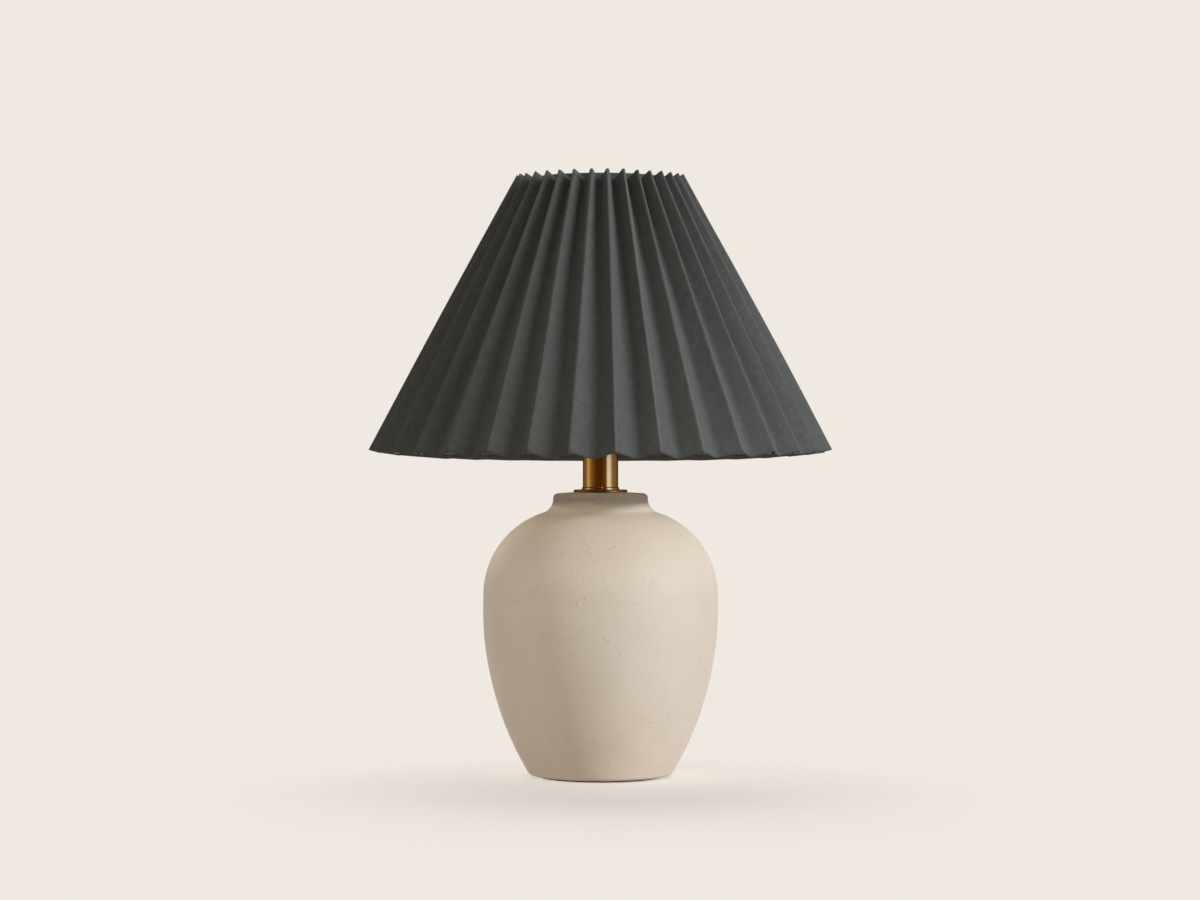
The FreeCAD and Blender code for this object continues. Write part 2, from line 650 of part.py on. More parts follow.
for side in ("", "-"):
    draw_outline(ear_sketch, [
        (side + "Sizes.ear_width / 2", "Sizes.saddle_bend"),
        (side + "Sizes.saddle_width", "Sizes.saddle_bend"),
        (side + "Sizes.saddle_width", TRIM_TOP),
        (side + "Sizes.ear_width / 2", TRIM_TOP),
    ])
add_pocket(saddle, "ear_trim", ear_sketch, "Places.cut_through", both_ways=True)
saddle_hole = new_sketch(saddle, "saddle_hole_circle", "XY_Plane")
draw_circle(saddle_hole, "Places.rod_hole")
add_pocket(saddle, "saddle_hole", saddle_hole, "Places.cut_through", both_ways=True)
place(saddle, "Places.saddle_place")

# Socket: cap, brass shell, paper sleeve, moulded core, screw shell and centre contact
turned_part("socket_cap", [
    ("Places.rod_hole", "0"),
    ("Sizes.cap_hub_radius", "0"),
    ("Sizes.cap_hub_radius", "Sizes.cap_hub_height",
     "Sizes.cap_radius - Sizes.cap_hub_radius + Sizes.cap_hub_height", 1),
    ("Sizes.cap_radius", "Sizes.cap_radius - Sizes.cap_hub_radius + Sizes.cap_hub_height"),
    ("Sizes.cap_radius", "Sizes.cap_height"),
    ("Sizes.cap_radius - Sizes.cap_wall", "Sizes.cap_height"),
    ("Sizes.cap_radius - Sizes.cap_wall", "Sizes.cap_radius - Sizes.cap_hub_radius + Sizes.cap_hub_height",
     "Sizes.cap_radius - Sizes.cap_hub_radius + Sizes.cap_hub_height", -1),
    ("Sizes.cap_hub_radius", "Sizes.cap_hub_height + Sizes.cap_floor"),
    ("Places.rod_hole", "Sizes.cap_hub_height + Sizes.cap_floor"),
], "Places.cap_place")


def add_switch_hole(body, up):
    """Hole towards the front through which the switch shaft passes"""
    sketch = new_sketch(body, body.Label + "_switch_circle")
    draw_circle(sketch, "Sizes.switch_hole", "0", up)
    pocket = add_pocket(body, body.Label + "_switch_hole", sketch, "Places.cut_through")
    pocket.Reversed = True
    doc.recompute()


shell = turned_part("socket_shell", ring_outline("Places.shell_outer - Sizes.shell_wall", "Places.shell_outer",
                                                 "Places.shell_height"), "Places.shell_place")
add_switch_hole(shell, "Places.switch_axis - Places.shell_place")
sleeve = turned_part("insulating_sleeve", ring_outline("Places.sleeve_outer - Sizes.sleeve_wall",
                                                       "Places.sleeve_outer", "Places.sleeve_height"),
                     "Places.shell_place")
add_switch_hole(sleeve, "Places.switch_axis - Places.shell_place")

core = turned_part("socket_core", [
    ("0", "0"),
    ("Sizes.cap_hub_radius", "0"),
    ("Places.core_radius", "Sizes.core_taper"),
    ("Places.core_radius", "Sizes.core_height"),
    ("0", "Sizes.core_height"),
], "Places.core_place")
core_sketch = new_sketch(core, "switch_bore_circle")
draw_circle(core_sketch, "Sizes.switch_radius + Sizes.pivot_gap", "0", "Places.switch_axis - Places.core_place")
core_bore = add_pocket(core, "switch_bore", core_sketch, "Places.cut_through")
core_bore.Reversed = True
doc.recompute()

turned_part("screw_shell", [
    ("Sizes.contact_radius + Sizes.contact_thickness", "0"),
    ("Places.screw_outer", "0"),
    ("Places.screw_outer", "Sizes.screw_height"),
    ("Sizes.screw_bore_radius", "Sizes.screw_height"),
    ("Sizes.screw_bore_radius", "Sizes.screw_wall"),
    ("Sizes.contact_radius + Sizes.contact_thickness", "Sizes.screw_wall"),
], "Places.core_top")
turned_part("centre_contact", [
    ("0", "0"),
    ("Sizes.contact_radius", "0"),
    ("Sizes.contact_radius", "Sizes.contact_thickness / 3"),
    ("Sizes.contact_radius / 2", "Sizes.contact_thickness"),
    ("0", "Sizes.contact_thickness"),
], "Places.core_top")

# Turn switch: shaft into the core and a keyed knob, both turned about an axis that points forwards
FORWARDS = FreeCAD.Rotation(Vector(1, 0, 0), 90)
switch_shaft = turned_part("switch_shaft", [
    ("0", "0"),
    ("Sizes.switch_radius", "0"),
    ("Sizes.switch_radius", "Sizes.knob_start + Sizes.knob_socket - Sizes.switch_depth - Sizes.seat_gap"),
    ("0", "Sizes.knob_start + Sizes.knob_socket - Sizes.switch_depth - Sizes.seat_gap"),
], "Places.switch_axis")
switch_shaft.Placement.Rotation = FORWARDS
place(switch_shaft, "Places.switch_axis", "0", "-Sizes.switch_depth")

knob = new_body("turn_knob")
add_turned(knob, "knob_turned", [
    ("Sizes.switch_radius + Sizes.fit_gap", "0"),
    ("Sizes.knob_radius", "0"),
    ("Sizes.knob_radius", "Sizes.knob_length - Sizes.knob_radius / 3", "Sizes.knob_radius / 3", 1),
    ("2 * Sizes.knob_radius / 3", "Sizes.knob_length"),
    ("0", "Sizes.knob_length"),
    ("0", "Sizes.knob_socket"),
    ("Sizes.switch_radius + Sizes.fit_gap", "Sizes.knob_socket"),
])
key_sketch = new_sketch(knob, "key_flats")
for side in ("", "-"):
    draw_outline(key_sketch, [
        (side + "Sizes.knob_key_width / 2", "Sizes.knob_key_start"),
        (side + "2 * Sizes.knob_radius", "Sizes.knob_key_start"),
        (side + "2 * Sizes.knob_radius", "Sizes.knob_length + Sizes.cut_margin"),
        (side + "Sizes.knob_key_width / 2", "Sizes.knob_length + Sizes.cut_margin"),
    ])
add_pocket(knob, "key_cut", key_sketch, "Places.cut_through", both_ways=True)
knob.Placement.Rotation = FORWARDS
place(knob, "Places.switch_axis", "0", "-Sizes.knob_start")

# Bulb: tip, insulator, threaded base, collar and frosted globe
turned_part("bulb_tip", [
    ("0", "0"),
    ("Sizes.bulb_tip_radius - Sizes.bulb_tip_height", "0"),
    ("Sizes.bulb_tip_radius", "Sizes.bulb_tip_height"),
    ("0", "Sizes.bulb_tip_height"),
], "Places.bulb_place")
turned_part("bulb_insulator", [
    ("0", "0"),
    ("Sizes.bulb_tip_radius", "0"),
    ("Places.bulb_insulator_radius", "Sizes.bulb_insulator_height"),
    ("0", "Sizes.bulb_insulator_height"),
], "Places.bulb_insulator_place")
turned_part("bulb_base", [
    ("0", "0"),
    ("Places.bulb_insulator_radius", "0"),
    ("Sizes.bulb_thread_radius", "Sizes.bulb_thread_wall"),
    ("Sizes.bulb_thread_radius", "Sizes.bulb_thread_height"),
    ("0", "Sizes.bulb_thread_height"),
], "Places.bulb_thread_place")
turned_part("bulb_collar", [
    ("0", "0"),
    ("Sizes.bulb_collar_base", "0", "2 * Sizes.bulb_collar_height", -1),
    ("Sizes.bulb_collar_radius", "Sizes.bulb_collar_height"),
    ("0", "Sizes.bulb_collar_height"),
], "Places.bulb_collar_place")
turned_part("bulb_globe", [
    ("Sizes.bulb_collar_radius", "0", "Sizes.bulb_globe_radius * 2", 1),
    ("Sizes.bulb_globe_radius", "Sizes.bulb_globe_belly", "Sizes.bulb_globe_radius", 1),
    ("0", "Places.bulb_crown"),
    ("0", "Places.bulb_crown - Sizes.bulb_wall", "Sizes.bulb_globe_radius - Sizes.bulb_wall", -1),
    ("Sizes.bulb_globe_radius - Sizes.bulb_wall", "Sizes.bulb_globe_belly", "Sizes.bulb_globe_radius * 2", -1),
    ("Sizes.bulb_collar_radius - Sizes.bulb_wall", "0"),
], "Places.bulb_globe_place")

# Harp: two mirrored halves of one bowed wire that meet in a flat eye
harp = new_body("harp")
harp_path = new_sketch(harp, "harp_path")
draw_outline(harp_path, [
    ("Sizes.harp_foot", "0"),
    ("Sizes.harp_foot", "Sizes.harp_leg", "Places.bow_curve", -1),
    ("Places.bow_centre", "Places.bow_middle", "Places.bow_curve", 1),
    ("Sizes.harp_half_width", "Sizes.harp_bow"),
    ("Sizes.harp_half_width", "Sizes.harp_height - Sizes.harp_shoulder", "Sizes.harp_shoulder", 1),
    ("Sizes.harp_half_width - Sizes.harp_shoulder", "Sizes.harp_height"),
    ("0", "Sizes.harp_height"),
], closed=False)
harp_section = new_sketch(harp, "harp_section", "XY_Plane")
draw_circle(harp_section, "Sizes.harp_wire", "Sizes.harp_foot", "0")
harp_pipe = harp.newObject("PartDesign::AdditivePipe", "harp_pipe")
harp_pipe.Profile = harp_section
harp_pipe.Spine = (harp_path, ["Edge%d" % (number + 1) for number in range(6)])
harp_pipe.Mode = "Frenet"
doc.recompute()
harp_mirror = harp.newObject("PartDesign::Mirrored", "harp_mirror")
harp_mirror.Originals = [harp_pipe]
harp_mirror.MirrorPlane = (origin_plane(harp, "YZ_Plane"), [""])
harp.Tip = harp_mirror
doc.recompute()
eye_sketch = new_sketch(harp, "eye_circle", "XY_Plane")
draw_circle(eye_sketch, "Sizes.eye_radius")
eye_sketch.setExpression("AttachmentOffset.Base.z", "Sizes.harp_height")
eye_pad = harp.newObject("PartDesign::Pad", "eye_pad")
eye_pad.Profile = eye_sketch
eye_pad.Midplane = True
eye_pad.setExpression("Length", "Sizes.eye_thickness")
doc.recompute()
bore_sketch = new_sketch(harp, "eye_bore_circle", "XY_Plane")
draw_circle(bore_sketch, "Places.eye_bore")
bore_sketch.setExpression("AttachmentOffset.Base.z", "Sizes.harp_height")
add_pocket(harp, "eye_bore", bore_sketch, "Places.cut_through", both_ways=True)
place(harp, "Places.harp_place")

# Ferrules that slide over the ears and the harp's legs
for name, side in (("left", "-"), ("right", "")):
    ferrule = turned_part("ferrule_" + name, ring_outline("Places.ferrule_bore",
                                                          "Places.ferrule_bore + Sizes.ferrule_wall",
                                                          "Sizes.ferrule_height"), "Places.ferrule_place")
    place(ferrule, "Places.ferrule_place", side + "Places.ferrule_centre")

# Swivel stud riveted into the harp's eye
RIVET = "Sizes.rivet_height"
NECK_END = RIVET + " + Places.pivot_length"
SHOULDER_END = NECK_END + " + Sizes.stud_shoulder_height"
STUD_END = SHOULDER_END + " + Sizes.stud_length"
turned_part("harp_swivel_stud", [
    ("0", "0"),
    ("Sizes.rivet_radius - Sizes.rivet_height / 2", "0"),
    ("Sizes.rivet_radius", RIVET + " / 2"),
    ("Sizes.rivet_radius", RIVET),
    ("Sizes.pivot_radius", RIVET),
    ("Sizes.pivot_radius", NECK_END),
    ("Sizes.stud_shoulder_radius", NECK_END),
    ("Sizes.stud_shoulder_radius", SHOULDER_END),
    ("Sizes.stud_radius", SHOULDER_END),
    ("Sizes.stud_radius", STUD_END),
    ("0", STUD_END),
], "Places.stud_place")


def fold_place(radius, height, angle):
    """Point on a fold line, in the half plane at an angle about the lamp's axis"""
    return Vector(radius * math.cos(angle), radius * math.sin(angle), height)


def rounded_fold(previous, apex, following, offset, bulge):
    """Ends and middle of the small arc that rounds a fold, on the skin that lies offset outside the cloth's middle"""
    back = (previous - apex).normalize()
    ahead = (following - apex).normalize()
    bisector = (back + ahead).normalize()
    half_angle = back.getAngle(ahead) / 2
    fold_radius = value("Sizes.fold_radius")
    centre = apex + bisector * (fold_radius / math.sin(half_angle))
    reach = fold_radius / math.tan(half_angle)
    skin_radius = fold_radius + offset * bulge
    first = centre + (apex + back * reach - centre).normalize() * skin_radius
    last = centre + (apex + ahead * reach - centre).normalize() * skin_radius
    return first, centre - bisector * skin_radius, last


def pleat_wire(ridge_radius, ridge_height, valley_radius, valley_height, offset):
    """Edges of one skin of the cloth along the hem or the top: an arc at each fold, a line across each panel"""
    folds = 2 * round(value("Sizes.pleat_count"))
    start = math.radians(value("Sizes.first_ridge_angle"))
    apexes = []
    for number in range(folds):
        angle = start + 2 * math.pi * number / folds
        if number % 2 == 0:
            apexes.append(fold_place(ridge_radius, ridge_height, angle))
        else:
            apexes.append(fold_place(valley_radius, valley_height, angle))
    arcs = []
    for number in range(folds):
        bulge = 1 if number % 2 == 0 else -1
        arcs.append(rounded_fold(apexes[number - 1], apexes[number], apexes[(number + 1) % folds], offset, bulge))
    edges = []
    for number in range(folds):
        first, middle, last = arcs[number]
        edges.append(Part.Arc(first, middle, last).toShape())
        edges.append(Part.LineSegment(last, arcs[(number + 1) % folds][0]).toShape())
    return edges


def ruled_faces(lower, upper):
    """Ruled face between each pair of edges"""
    return [Part.makeRuledSurface(low, high) for low, high in zip(lower, upper)]


# Pleated cloth of the shade: one accordion-folded strip, closed to a cone
cloth_half = value("Sizes.cloth / 2")
HEM = (value("Sizes.shade_hem_fold"), value("Places.shade_hem_height"),
       value("Places.hem_valley"), value("Places.hem_valley_height"))
TOP = (value("Sizes.shade_top_fold"), value("Places.shade_top_height"),
       value("Places.top_valley"), value("Places.top_valley_height"))
hem_outside = pleat_wire(*HEM, cloth_half)
hem_inside = pleat_wire(*HEM, -cloth_half)
top_outside = pleat_wire(*TOP, cloth_half)
top_inside = pleat_wire(*TOP, -cloth_half)
skins = ruled_faces(hem_outside, top_outside) + ruled_faces(hem_inside, top_inside)
skins += ruled_faces(hem_outside, hem_inside) + ruled_faces(top_outside, top_inside)
cloth_skin = Part.makeCompound(skins)
cloth_skin.sewShape()
pleated_cloth = doc.addObject("Part::Feature", "shade_pleats")
pleated_cloth.Label = "shade_pleats"
cloth_solid = Part.makeSolid(cloth_skin.Shells[0])
if cloth_solid.Volume < 0:
    cloth_solid.reverse()
pleated_cloth.Shape = cloth_solid

# Band that binds the pleats' top edge, and the wire rings of the frame
turned_part("shade_top_band", ring_outline("Places.band_inner", "Places.band_outer", "Sizes.band_height"),
            "Places.top_ring_height")
for name, radius, wire, height in (
    ("shade_top_ring", "Places.top_ring_radius", "Sizes.top_ring_wire", "Places.top_ring_height"),
    ("shade_hem_ring", "Places.hem_ring_radius", "Sizes.hem_ring_wire", "Places.hem_ring_height"),
):
    ring = doc.addObject("Part::Torus", name)
    ring.Label = name
    ring.setExpression("Radius1", radius)
    ring.setExpression("Radius2", wire)
    place(ring, height)


def wire_group(label, wire, length, start_radius, start_height, run, rise, margin, first_angle):
    """Three straight wires that rise from a start circle, each turned a third about the lamp's axis"""
    wires = []
    for number in range(FRAME_WIRES):
        angle = math.radians(first_angle) + 2 * math.pi * number / FRAME_WIRES
        outwards = Vector(math.cos(angle), math.sin(angle), 0)
        along = (outwards * run + Vector(0, 0, rise)).normalize()
        rod = doc.addObject("Part::Cylinder", "%s_%d" % (label, number + 1))
        rod.setExpression("Radius", wire)
        rod.setExpression("Height", length)
        base = outwards * start_radius + Vector(0, 0, start_height) + along * margin
        rod.Placement = FreeCAD.Placement(base, FreeCAD.Rotation(Vector(0, 0, 1), along))
        wires.append(rod)
    group = doc.addObject("Part::Compound", label)
    group.Label = label
    group.Links = wires
    return group


# Struts from the hem ring to the top ring, each behind a valley of the cloth
first_valley = value("Sizes.first_ridge_angle + Places.half_pitch")
wire_group("shade_struts", "Sizes.strut_wire", "Places.strut_length",
           value("Places.hem_ring_radius"), value("Places.hem_ring_height"),
           -value("Places.strut_run"), value("Places.strut_rise"),
           value("Sizes.hem_ring_wire + Sizes.fit_gap"), first_valley)

# Spider: hub washer over the stud and three arms out to the top ring
turned_part("spider_hub", ring_outline("Places.hub_bore", "Sizes.hub_radius", "Sizes.hub_thickness"),
            "Places.hub_place")
wire_group("spider_arms", "Sizes.arm_wire", "Places.arm_length",
           value("Places.arm_start"), value("Places.arm_base"),
           value("Places.arm_run"), value("Places.arm_rise"), 0, value("Sizes.first_arm_angle"))

# Finial that holds the shade down on the stud
turned_part("finial", [
    ("Places.finial_bore", "0"),
    ("Sizes.finial_base_radius", "0"),
    ("Sizes.finial_base_radius", "Sizes.finial_base_height"),
    ("Sizes.finial_waist_radius", "2 * Sizes.finial_base_height"),
    ("Sizes.finial_waist_radius", "Sizes.finial_waist_height", "Places.finial_ball", 1),
    ("0", "Sizes.finial_height"),
    ("0", "Places.finial_bore_depth"),
    ("Places.finial_bore", "Places.finial_bore_depth"),
], "Places.finial_place")

doc.recompute()

# Nodes: what is left to stand by itself, checked and written one file each
NODES = [
    "base_felt", "ceramic_jar", "cord_grommet", "base_washer", "lock_washer", "rod_nut", "rod_bushing", "lamp_rod",
    "neck_seat", "neck_tube", "neck_base_ring", "neck_cap", "harp_saddle", "socket_cap", "socket_shell",
    "insulating_sleeve", "socket_core", "screw_shell", "centre_contact", "switch_shaft", "turn_knob", "bulb_tip",
    "bulb_insulator", "bulb_base", "bulb_collar", "bulb_globe", "harp", "ferrule_left", "ferrule_right",
    "harp_swivel_stud", "shade_pleats", "shade_top_band", "shade_top_ring", "shade_hem_ring", "shade_struts",
    "spider_hub", "spider_arms", "finial",
]
failed = [item.Label for item in doc.Objects if "Invalid" in item.State or "Error" in item.State]
if failed:
    raise RuntimeError("did not compute: " + ", ".join(failed))
for label in NODES:
    shape = doc.getObjectsByLabel(label)[0].Shape
    if shape.isNull() or not shape.isValid() or shape.Volume <= 0:
        raise RuntimeError("%s has no valid solid" % label)
    box = shape.BoundBox
    print("%-18s solids %d  z %.2f to %.2f  volume %.0f" % (label, len(shape.Solids), box.ZMin, box.ZMax, shape.Volume))
for label in NODES:
    doc.getObjectsByLabel(label)[0].Shape.exportStep("parts/%s.step" % label)
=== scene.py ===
import bpy
import math
import numpy as np
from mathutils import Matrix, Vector, noise


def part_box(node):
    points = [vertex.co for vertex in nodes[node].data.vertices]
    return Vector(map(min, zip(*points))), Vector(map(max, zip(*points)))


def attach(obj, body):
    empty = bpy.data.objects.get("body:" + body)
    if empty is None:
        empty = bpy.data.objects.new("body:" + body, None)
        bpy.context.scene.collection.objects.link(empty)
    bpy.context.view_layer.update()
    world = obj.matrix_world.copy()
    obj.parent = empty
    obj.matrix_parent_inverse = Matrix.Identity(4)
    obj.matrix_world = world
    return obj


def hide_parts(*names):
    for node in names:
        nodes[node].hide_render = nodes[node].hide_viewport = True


# Ginger jar lamp: a hand-made matte jar, a brass neck and a pleated cloth shade.
# Metres, +Z up, the front towards -Y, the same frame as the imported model.

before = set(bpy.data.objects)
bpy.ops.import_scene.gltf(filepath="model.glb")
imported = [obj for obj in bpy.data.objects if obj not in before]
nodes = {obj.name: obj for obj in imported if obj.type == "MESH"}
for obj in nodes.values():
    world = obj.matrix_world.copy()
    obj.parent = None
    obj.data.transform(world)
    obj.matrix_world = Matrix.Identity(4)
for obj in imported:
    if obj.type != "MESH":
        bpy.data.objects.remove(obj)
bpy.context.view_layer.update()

MM = 0.001

# Camera, almost level, fitted to the foot, the jar's rim, the hem and the shade's top in the photograph:
# its place, its tilt in degrees, the picture's width at the lamp, and the sensor's in millimetres
CAMERA_PLACE = (-0.0004, -2.45, 0.2592)
CAMERA_PITCH = 0.26
PICTURE_WIDTH = 0.9125
SENSOR = 36

# Studio: the plain background, the floor near the lamp with what lifts its shadow, and the faint even light
GROUND = (0.863, 0.815, 0.761)
GROUND_ALBEDO = (0.86, 0.81, 0.75)
GROUND_LIFT = (0.510, 0.488, 0.470)
GROUND_FADE = (0.30, 0.80)
FLOOR_REACH = 40.0
AMBIENT = (0.166, 0.156, 0.142)

# Colours of the lamps
COOL = (0.96, 0.98, 1.02)
WARM = (1.0, 0.93, 0.83)
GOLDEN = (1.0, 0.87, 0.62)
WHITE = (1.0, 1.0, 1.0)

# Lamps by what they light: name, degrees to the right of the camera's side, elevation, strength, width and
# colour. The key stands at the height that puts only the jar's collar in the shade's shadow.
SUNS = {
    "only_jar": [("key_light", 65, 16.9, 0.60, 3, COOL)],
    "jar_and_floor_left_out": [
        ("shade_key_light", 67, 18, 0.84, 46, COOL),
        ("shade_fill_light", -36, 22, 0.112, 90, WARM),
        ("shade_front_light", 0, 20, 0.042, 60, COOL),
        ("shade_back_light", 180, 20, 0.18, 50, WARM),
        ("shade_side_light", 138, 20, 0.20, 50, COOL),
    ],
    "small_pieces": [("inside_light", 0, 84, 0.50, 20, WHITE)],
    "only_floor": [("floor_light", 186, 65, 0.27, 50, WHITE)],
}

# Lamps for the jar from above and below that only the jar itself blocks
UNBLOCKED_SUNS = (
    ("top_light", 10, 86, 0.22, 12, GOLDEN),
    ("bounce_light", 10, -56, 0.125, 12, WARM),
)

# Weak lamps round the jar: degrees to the right of the camera's side, elevation and strength
RING_WIDTH = 2
RING_LIGHTS = (
    (-150, 15.6, 0.155),
    (-90, 16.6, 0.160),
    (-30, 15.3, 0.120),
    (30, 15.3, 0.079),
    (90, 16.6, 0.045),
    (150, 15.6, 0.100),
)

# Panels round the studio that the brass reflects: degrees to the right of the camera's side, and colour
WALL_RADIUS = 0.8
WALL_HEIGHTS = (0.002, 1.3)
WALL_STEPS = 96
WALL_STRENGTH = 3.4
WALL_PANELS = (
    (-180, (0.035, 0.027, 0.020)),
    (180, (0.035, 0.027, 0.020)),
    (-150, (0.045, 0.034, 0.024)),
    (-118, (0.30, 0.22, 0.16)),
    (-102, (0.30, 0.23, 0.17)),
    (-90, (0.86, 0.82, 0.80)),
    (-75, (0.54, 0.44, 0.34)),
    (-59, (0.29, 0.18, 0.075)),
    (-44, (0.19, 0.105, 0.038)),
    (-31, (0.11, 0.045, 0.015)),
    (0, (0.080, 0.034, 0.006)),
    (21, (0.14, 0.065, 0.012)),
    (38, (0.20, 0.13, 0.06)),
    (46, (1.08, 1.40, 2.9)),
    (67, (1.04, 1.35, 2.8)),
    (74, (0.45, 0.42, 0.45)),
    (97, (0.29, 0.22, 0.16)),
    (120, (0.22, 0.20, 0.17)),
    (148, (0.045, 0.036, 0.027)),
)

# Jar outline, radii and heights above its own foot
FELT_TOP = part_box("base_felt")[1].z
FOOT_RADIUS = 54 * MM
BELLY_RADIUS = 89.2 * MM
BELLY_LOW = 126.5 * MM
BELLY_HIGH = 136.5 * MM
COLLAR_RADIUS = 36 * MM
SHOULDER_HEIGHT = 200.9 * MM
RIM_HEIGHT = 213.4 * MM
CROWN_RADIUS = 24 * MM
CROWN_HEIGHT = 214.3 * MM
ROD_HOLE = 5 * MM
RECESS_RADIUS = 44 * MM
RECESS_HEIGHT = 16.5 * MM
OUTLET_RADIUS = 4.8 * MM
OUTLET_SEAT_RADIUS = 7 * MM
OUTLET_SEAT = 52.5 * MM
OUTLET_HEIGHT = 9.5 * MM

# Unevenness of the jar's wall: lumps in millimetres, none near the foot and the rim
LUMP = 0.22
EVEN_MARGIN = 6 * MM
LUMP_FADE = 15 * MM

# Neck
TUBE_RADIUS = 13.45 * MM
WASHER_HEIGHT = 2.1 * MM
WASHER_RADIUS = 20.4 * MM
RING_HEIGHT = 2.2 * MM

# Pleats: the sharp fold lines of the cloth's middle surface, as radius and height, and the bends' radii
PLEATS = 33
FOLDS = 2 * PLEATS
PANEL = 19.2 * MM
CLOTH = 0.8 * MM
FIRST_RIDGE = math.radians(-86.4)
HEM_RIDGE = (174.8 * MM, 247.1 * MM)
TOP_RIDGE = (63.5 * MM, 456.4 * MM)
HEM_VALLEY = (165.7 * MM, 242.34 * MM)
TOP_VALLEY = (48.4 * MM, 448.7 * MM)
FOLD_LENGTH = math.dist(HEM_RIDGE, TOP_RIDGE)
RIDGE_BEND = (1.2 * MM, 0.8 * MM)
VALLEY_BEND = (6.5 * MM, 1.1 * MM)
FOLD_BELLY = 1.3 * MM

# How much longer the strip hangs at the back, at its ridges and its valleys, so that the far hem is level
BACK_LONGER = (8.6 * MM, 3.9 * MM)
BACK_REACH = 0.1
BACK_FADE = 4

# How far the hem rises at the shade's two sides, at its ridges and its valleys, and how far it flares there
SIDE_RISE = (1.7 * MM, 3.8 * MM)
SIDE_FLARE = 0.7 * MM
SIDE_FOCUS = 4
SIDE_FADE = 3

# How much shallower the pleats are at the top, on the side at the camera's right
SHALLOWER = 5.4 * MM
SHALLOW_SIDE = math.radians(-42)
SHALLOW_FOCUS = 1.3
SHALLOW_FADE = 1.3

# Unevenness of the folds and panels: how far each thing drifts, and the seeds of the drifts
TURN_DRIFT = 0.003
RIDGE_DRIFT = 0.5 * MM
VALLEY_DRIFT = 0.35 * MM
HEIGHT_DRIFT = 0.35 * MM
PANEL_BOW = 0.45 * MM
LAP_RIPPLE = 0.12 * MM
SEEDS = {"turn": 3.0, "ridge": 11.0, "valley": 17.0, "height": 23.0, "bow": 31.0, "lap": 41.0}

# The panel that the glued lap lies on, at the back
LAP_FOLD = 34

# Wire frame: struts from ring to ring, and the first one's place in degrees
STRUTS = 3
FIRST_STRUT = -81.2

# Degrees by which the ridges in front stand off their even places, at the hem and at the top
LEAN_FADE = 1.5
LEANS = {
    0: (-0.1, 1.2), 1: (-0.4, 1.2), 2: (-0.9, 0.2), 3: (-0.8, -0.8), 4: (-1.1, -1.6), 5: (-2.2, -2.6),
    6: (-2.6, -2.6), 7: (-1.5, -1.5), 8: (-0.7, -0.7), 32: (0.2, 1.5), 31: (0.7, 0.2), 30: (1.2, 0.5),
    29: (0.5, 1.1), 28: (0.4, 0.6), 27: (0.9, 0.9), 26: (0.5, 0.5),
}


# Mesh helpers

PARALLEL = 1e-15


def polar(radius, angle, height):
    """Point from its radius, angle and height"""
    return Vector((radius * math.cos(angle), radius * math.sin(angle), height))


def make_object(name, vertices, faces, smooth=True):
    """Mesh object from plain lists"""
    mesh = bpy.data.meshes.new(name)
    mesh.from_pydata([tuple(point) for point in vertices], [], [tuple(face) for face in faces])
    mesh.update()
    if smooth:
        mesh.shade_smooth()
    item = bpy.data.objects.new(name, mesh)
    bpy.context.scene.collection.objects.link(item)
    return item


def grid_faces(rows, columns, closed=True):
    """Quads of a grid whose columns may close to a ring"""
    faces = []
    last = columns if closed else columns - 1
    for row in range(rows - 1):
        for column in range(last):
            beside = (column + 1) % columns
            faces.append((row * columns + column, row * columns + beside,
                          (row + 1) * columns + beside, (row + 1) * columns + column))
    return faces


def add_uv(item, place):
    """UV map in metres; place gives (u, v) for a face's middle and one of its corners"""
    layer = item.data.uv_layers.new(name="cloth")
    for face in item.data.polygons:
        for loop in face.loop_indices:
            layer.data[loop].uv = place(face.index, item.data.loops[loop].vertex_index)


def arc_points(start, end, radius, side, step):
    """Points on a short arc from start to end; side 1 bulges to the right of the way, -1 to the left"""
    start = np.array(start)
    end = np.array(end)
    chord = end - start
    length = np.linalg.norm(chord)
    right = np.array((chord[1], -chord[0])) / length
    depth = math.sqrt(max(radius ** 2 - (length / 2) ** 2, 0))
    centre = (start + end) / 2 - right * side * depth
    first = math.atan2(*(start - centre)[::-1])
    last = math.atan2(*(end - centre)[::-1])
    sweep = (last - first + math.pi) % math.tau - math.pi
    count = max(2, math.ceil(abs(sweep) * radius / step))
    angles = first + sweep * np.linspace(0, 1, count + 1)
    return centre + radius * np.stack((np.cos(angles), np.sin(angles)), axis=1)


def line_points(start, end, step):
    """Points on a straight run"""
    count = max(1, math.ceil(math.dist(start, end) / step))
    share = np.linspace(0, 1, count + 1)[:, None]
    return np.array(start) * (1 - share) + np.array(end) * share


def offset_run(run, distance):
    """Polyline beside a run, at a distance to its left"""
    along = np.gradient(run, axis=0)
    along /= np.linalg.norm(along, axis=1)[:, None]
    return run + distance * np.stack((-along[:, 1], along[:, 0]), axis=1)


def crossing(first, second):
    """Place where two polylines cross: index and share on each"""
    for i in range(len(first) - 2, -1, -1):
        for j in range(len(second) - 1):
            a, b = first[i], first[i + 1] - first[i]
            c, d = second[j], second[j + 1] - second[j]
            span = b[0] * d[1] - b[1] * d[0]
            if abs(span) < PARALLEL:
                continue
            t = ((c[0] - a[0]) * d[1] - (c[1] - a[1]) * d[0]) / span
            u = ((c[0] - a[0]) * b[1] - (c[1] - a[1]) * b[0]) / span
            if 0 <= t <= 1 and 0 <= u <= 1:
                return i, t, j, u
    raise ValueError("the rounding is too large for its corner")


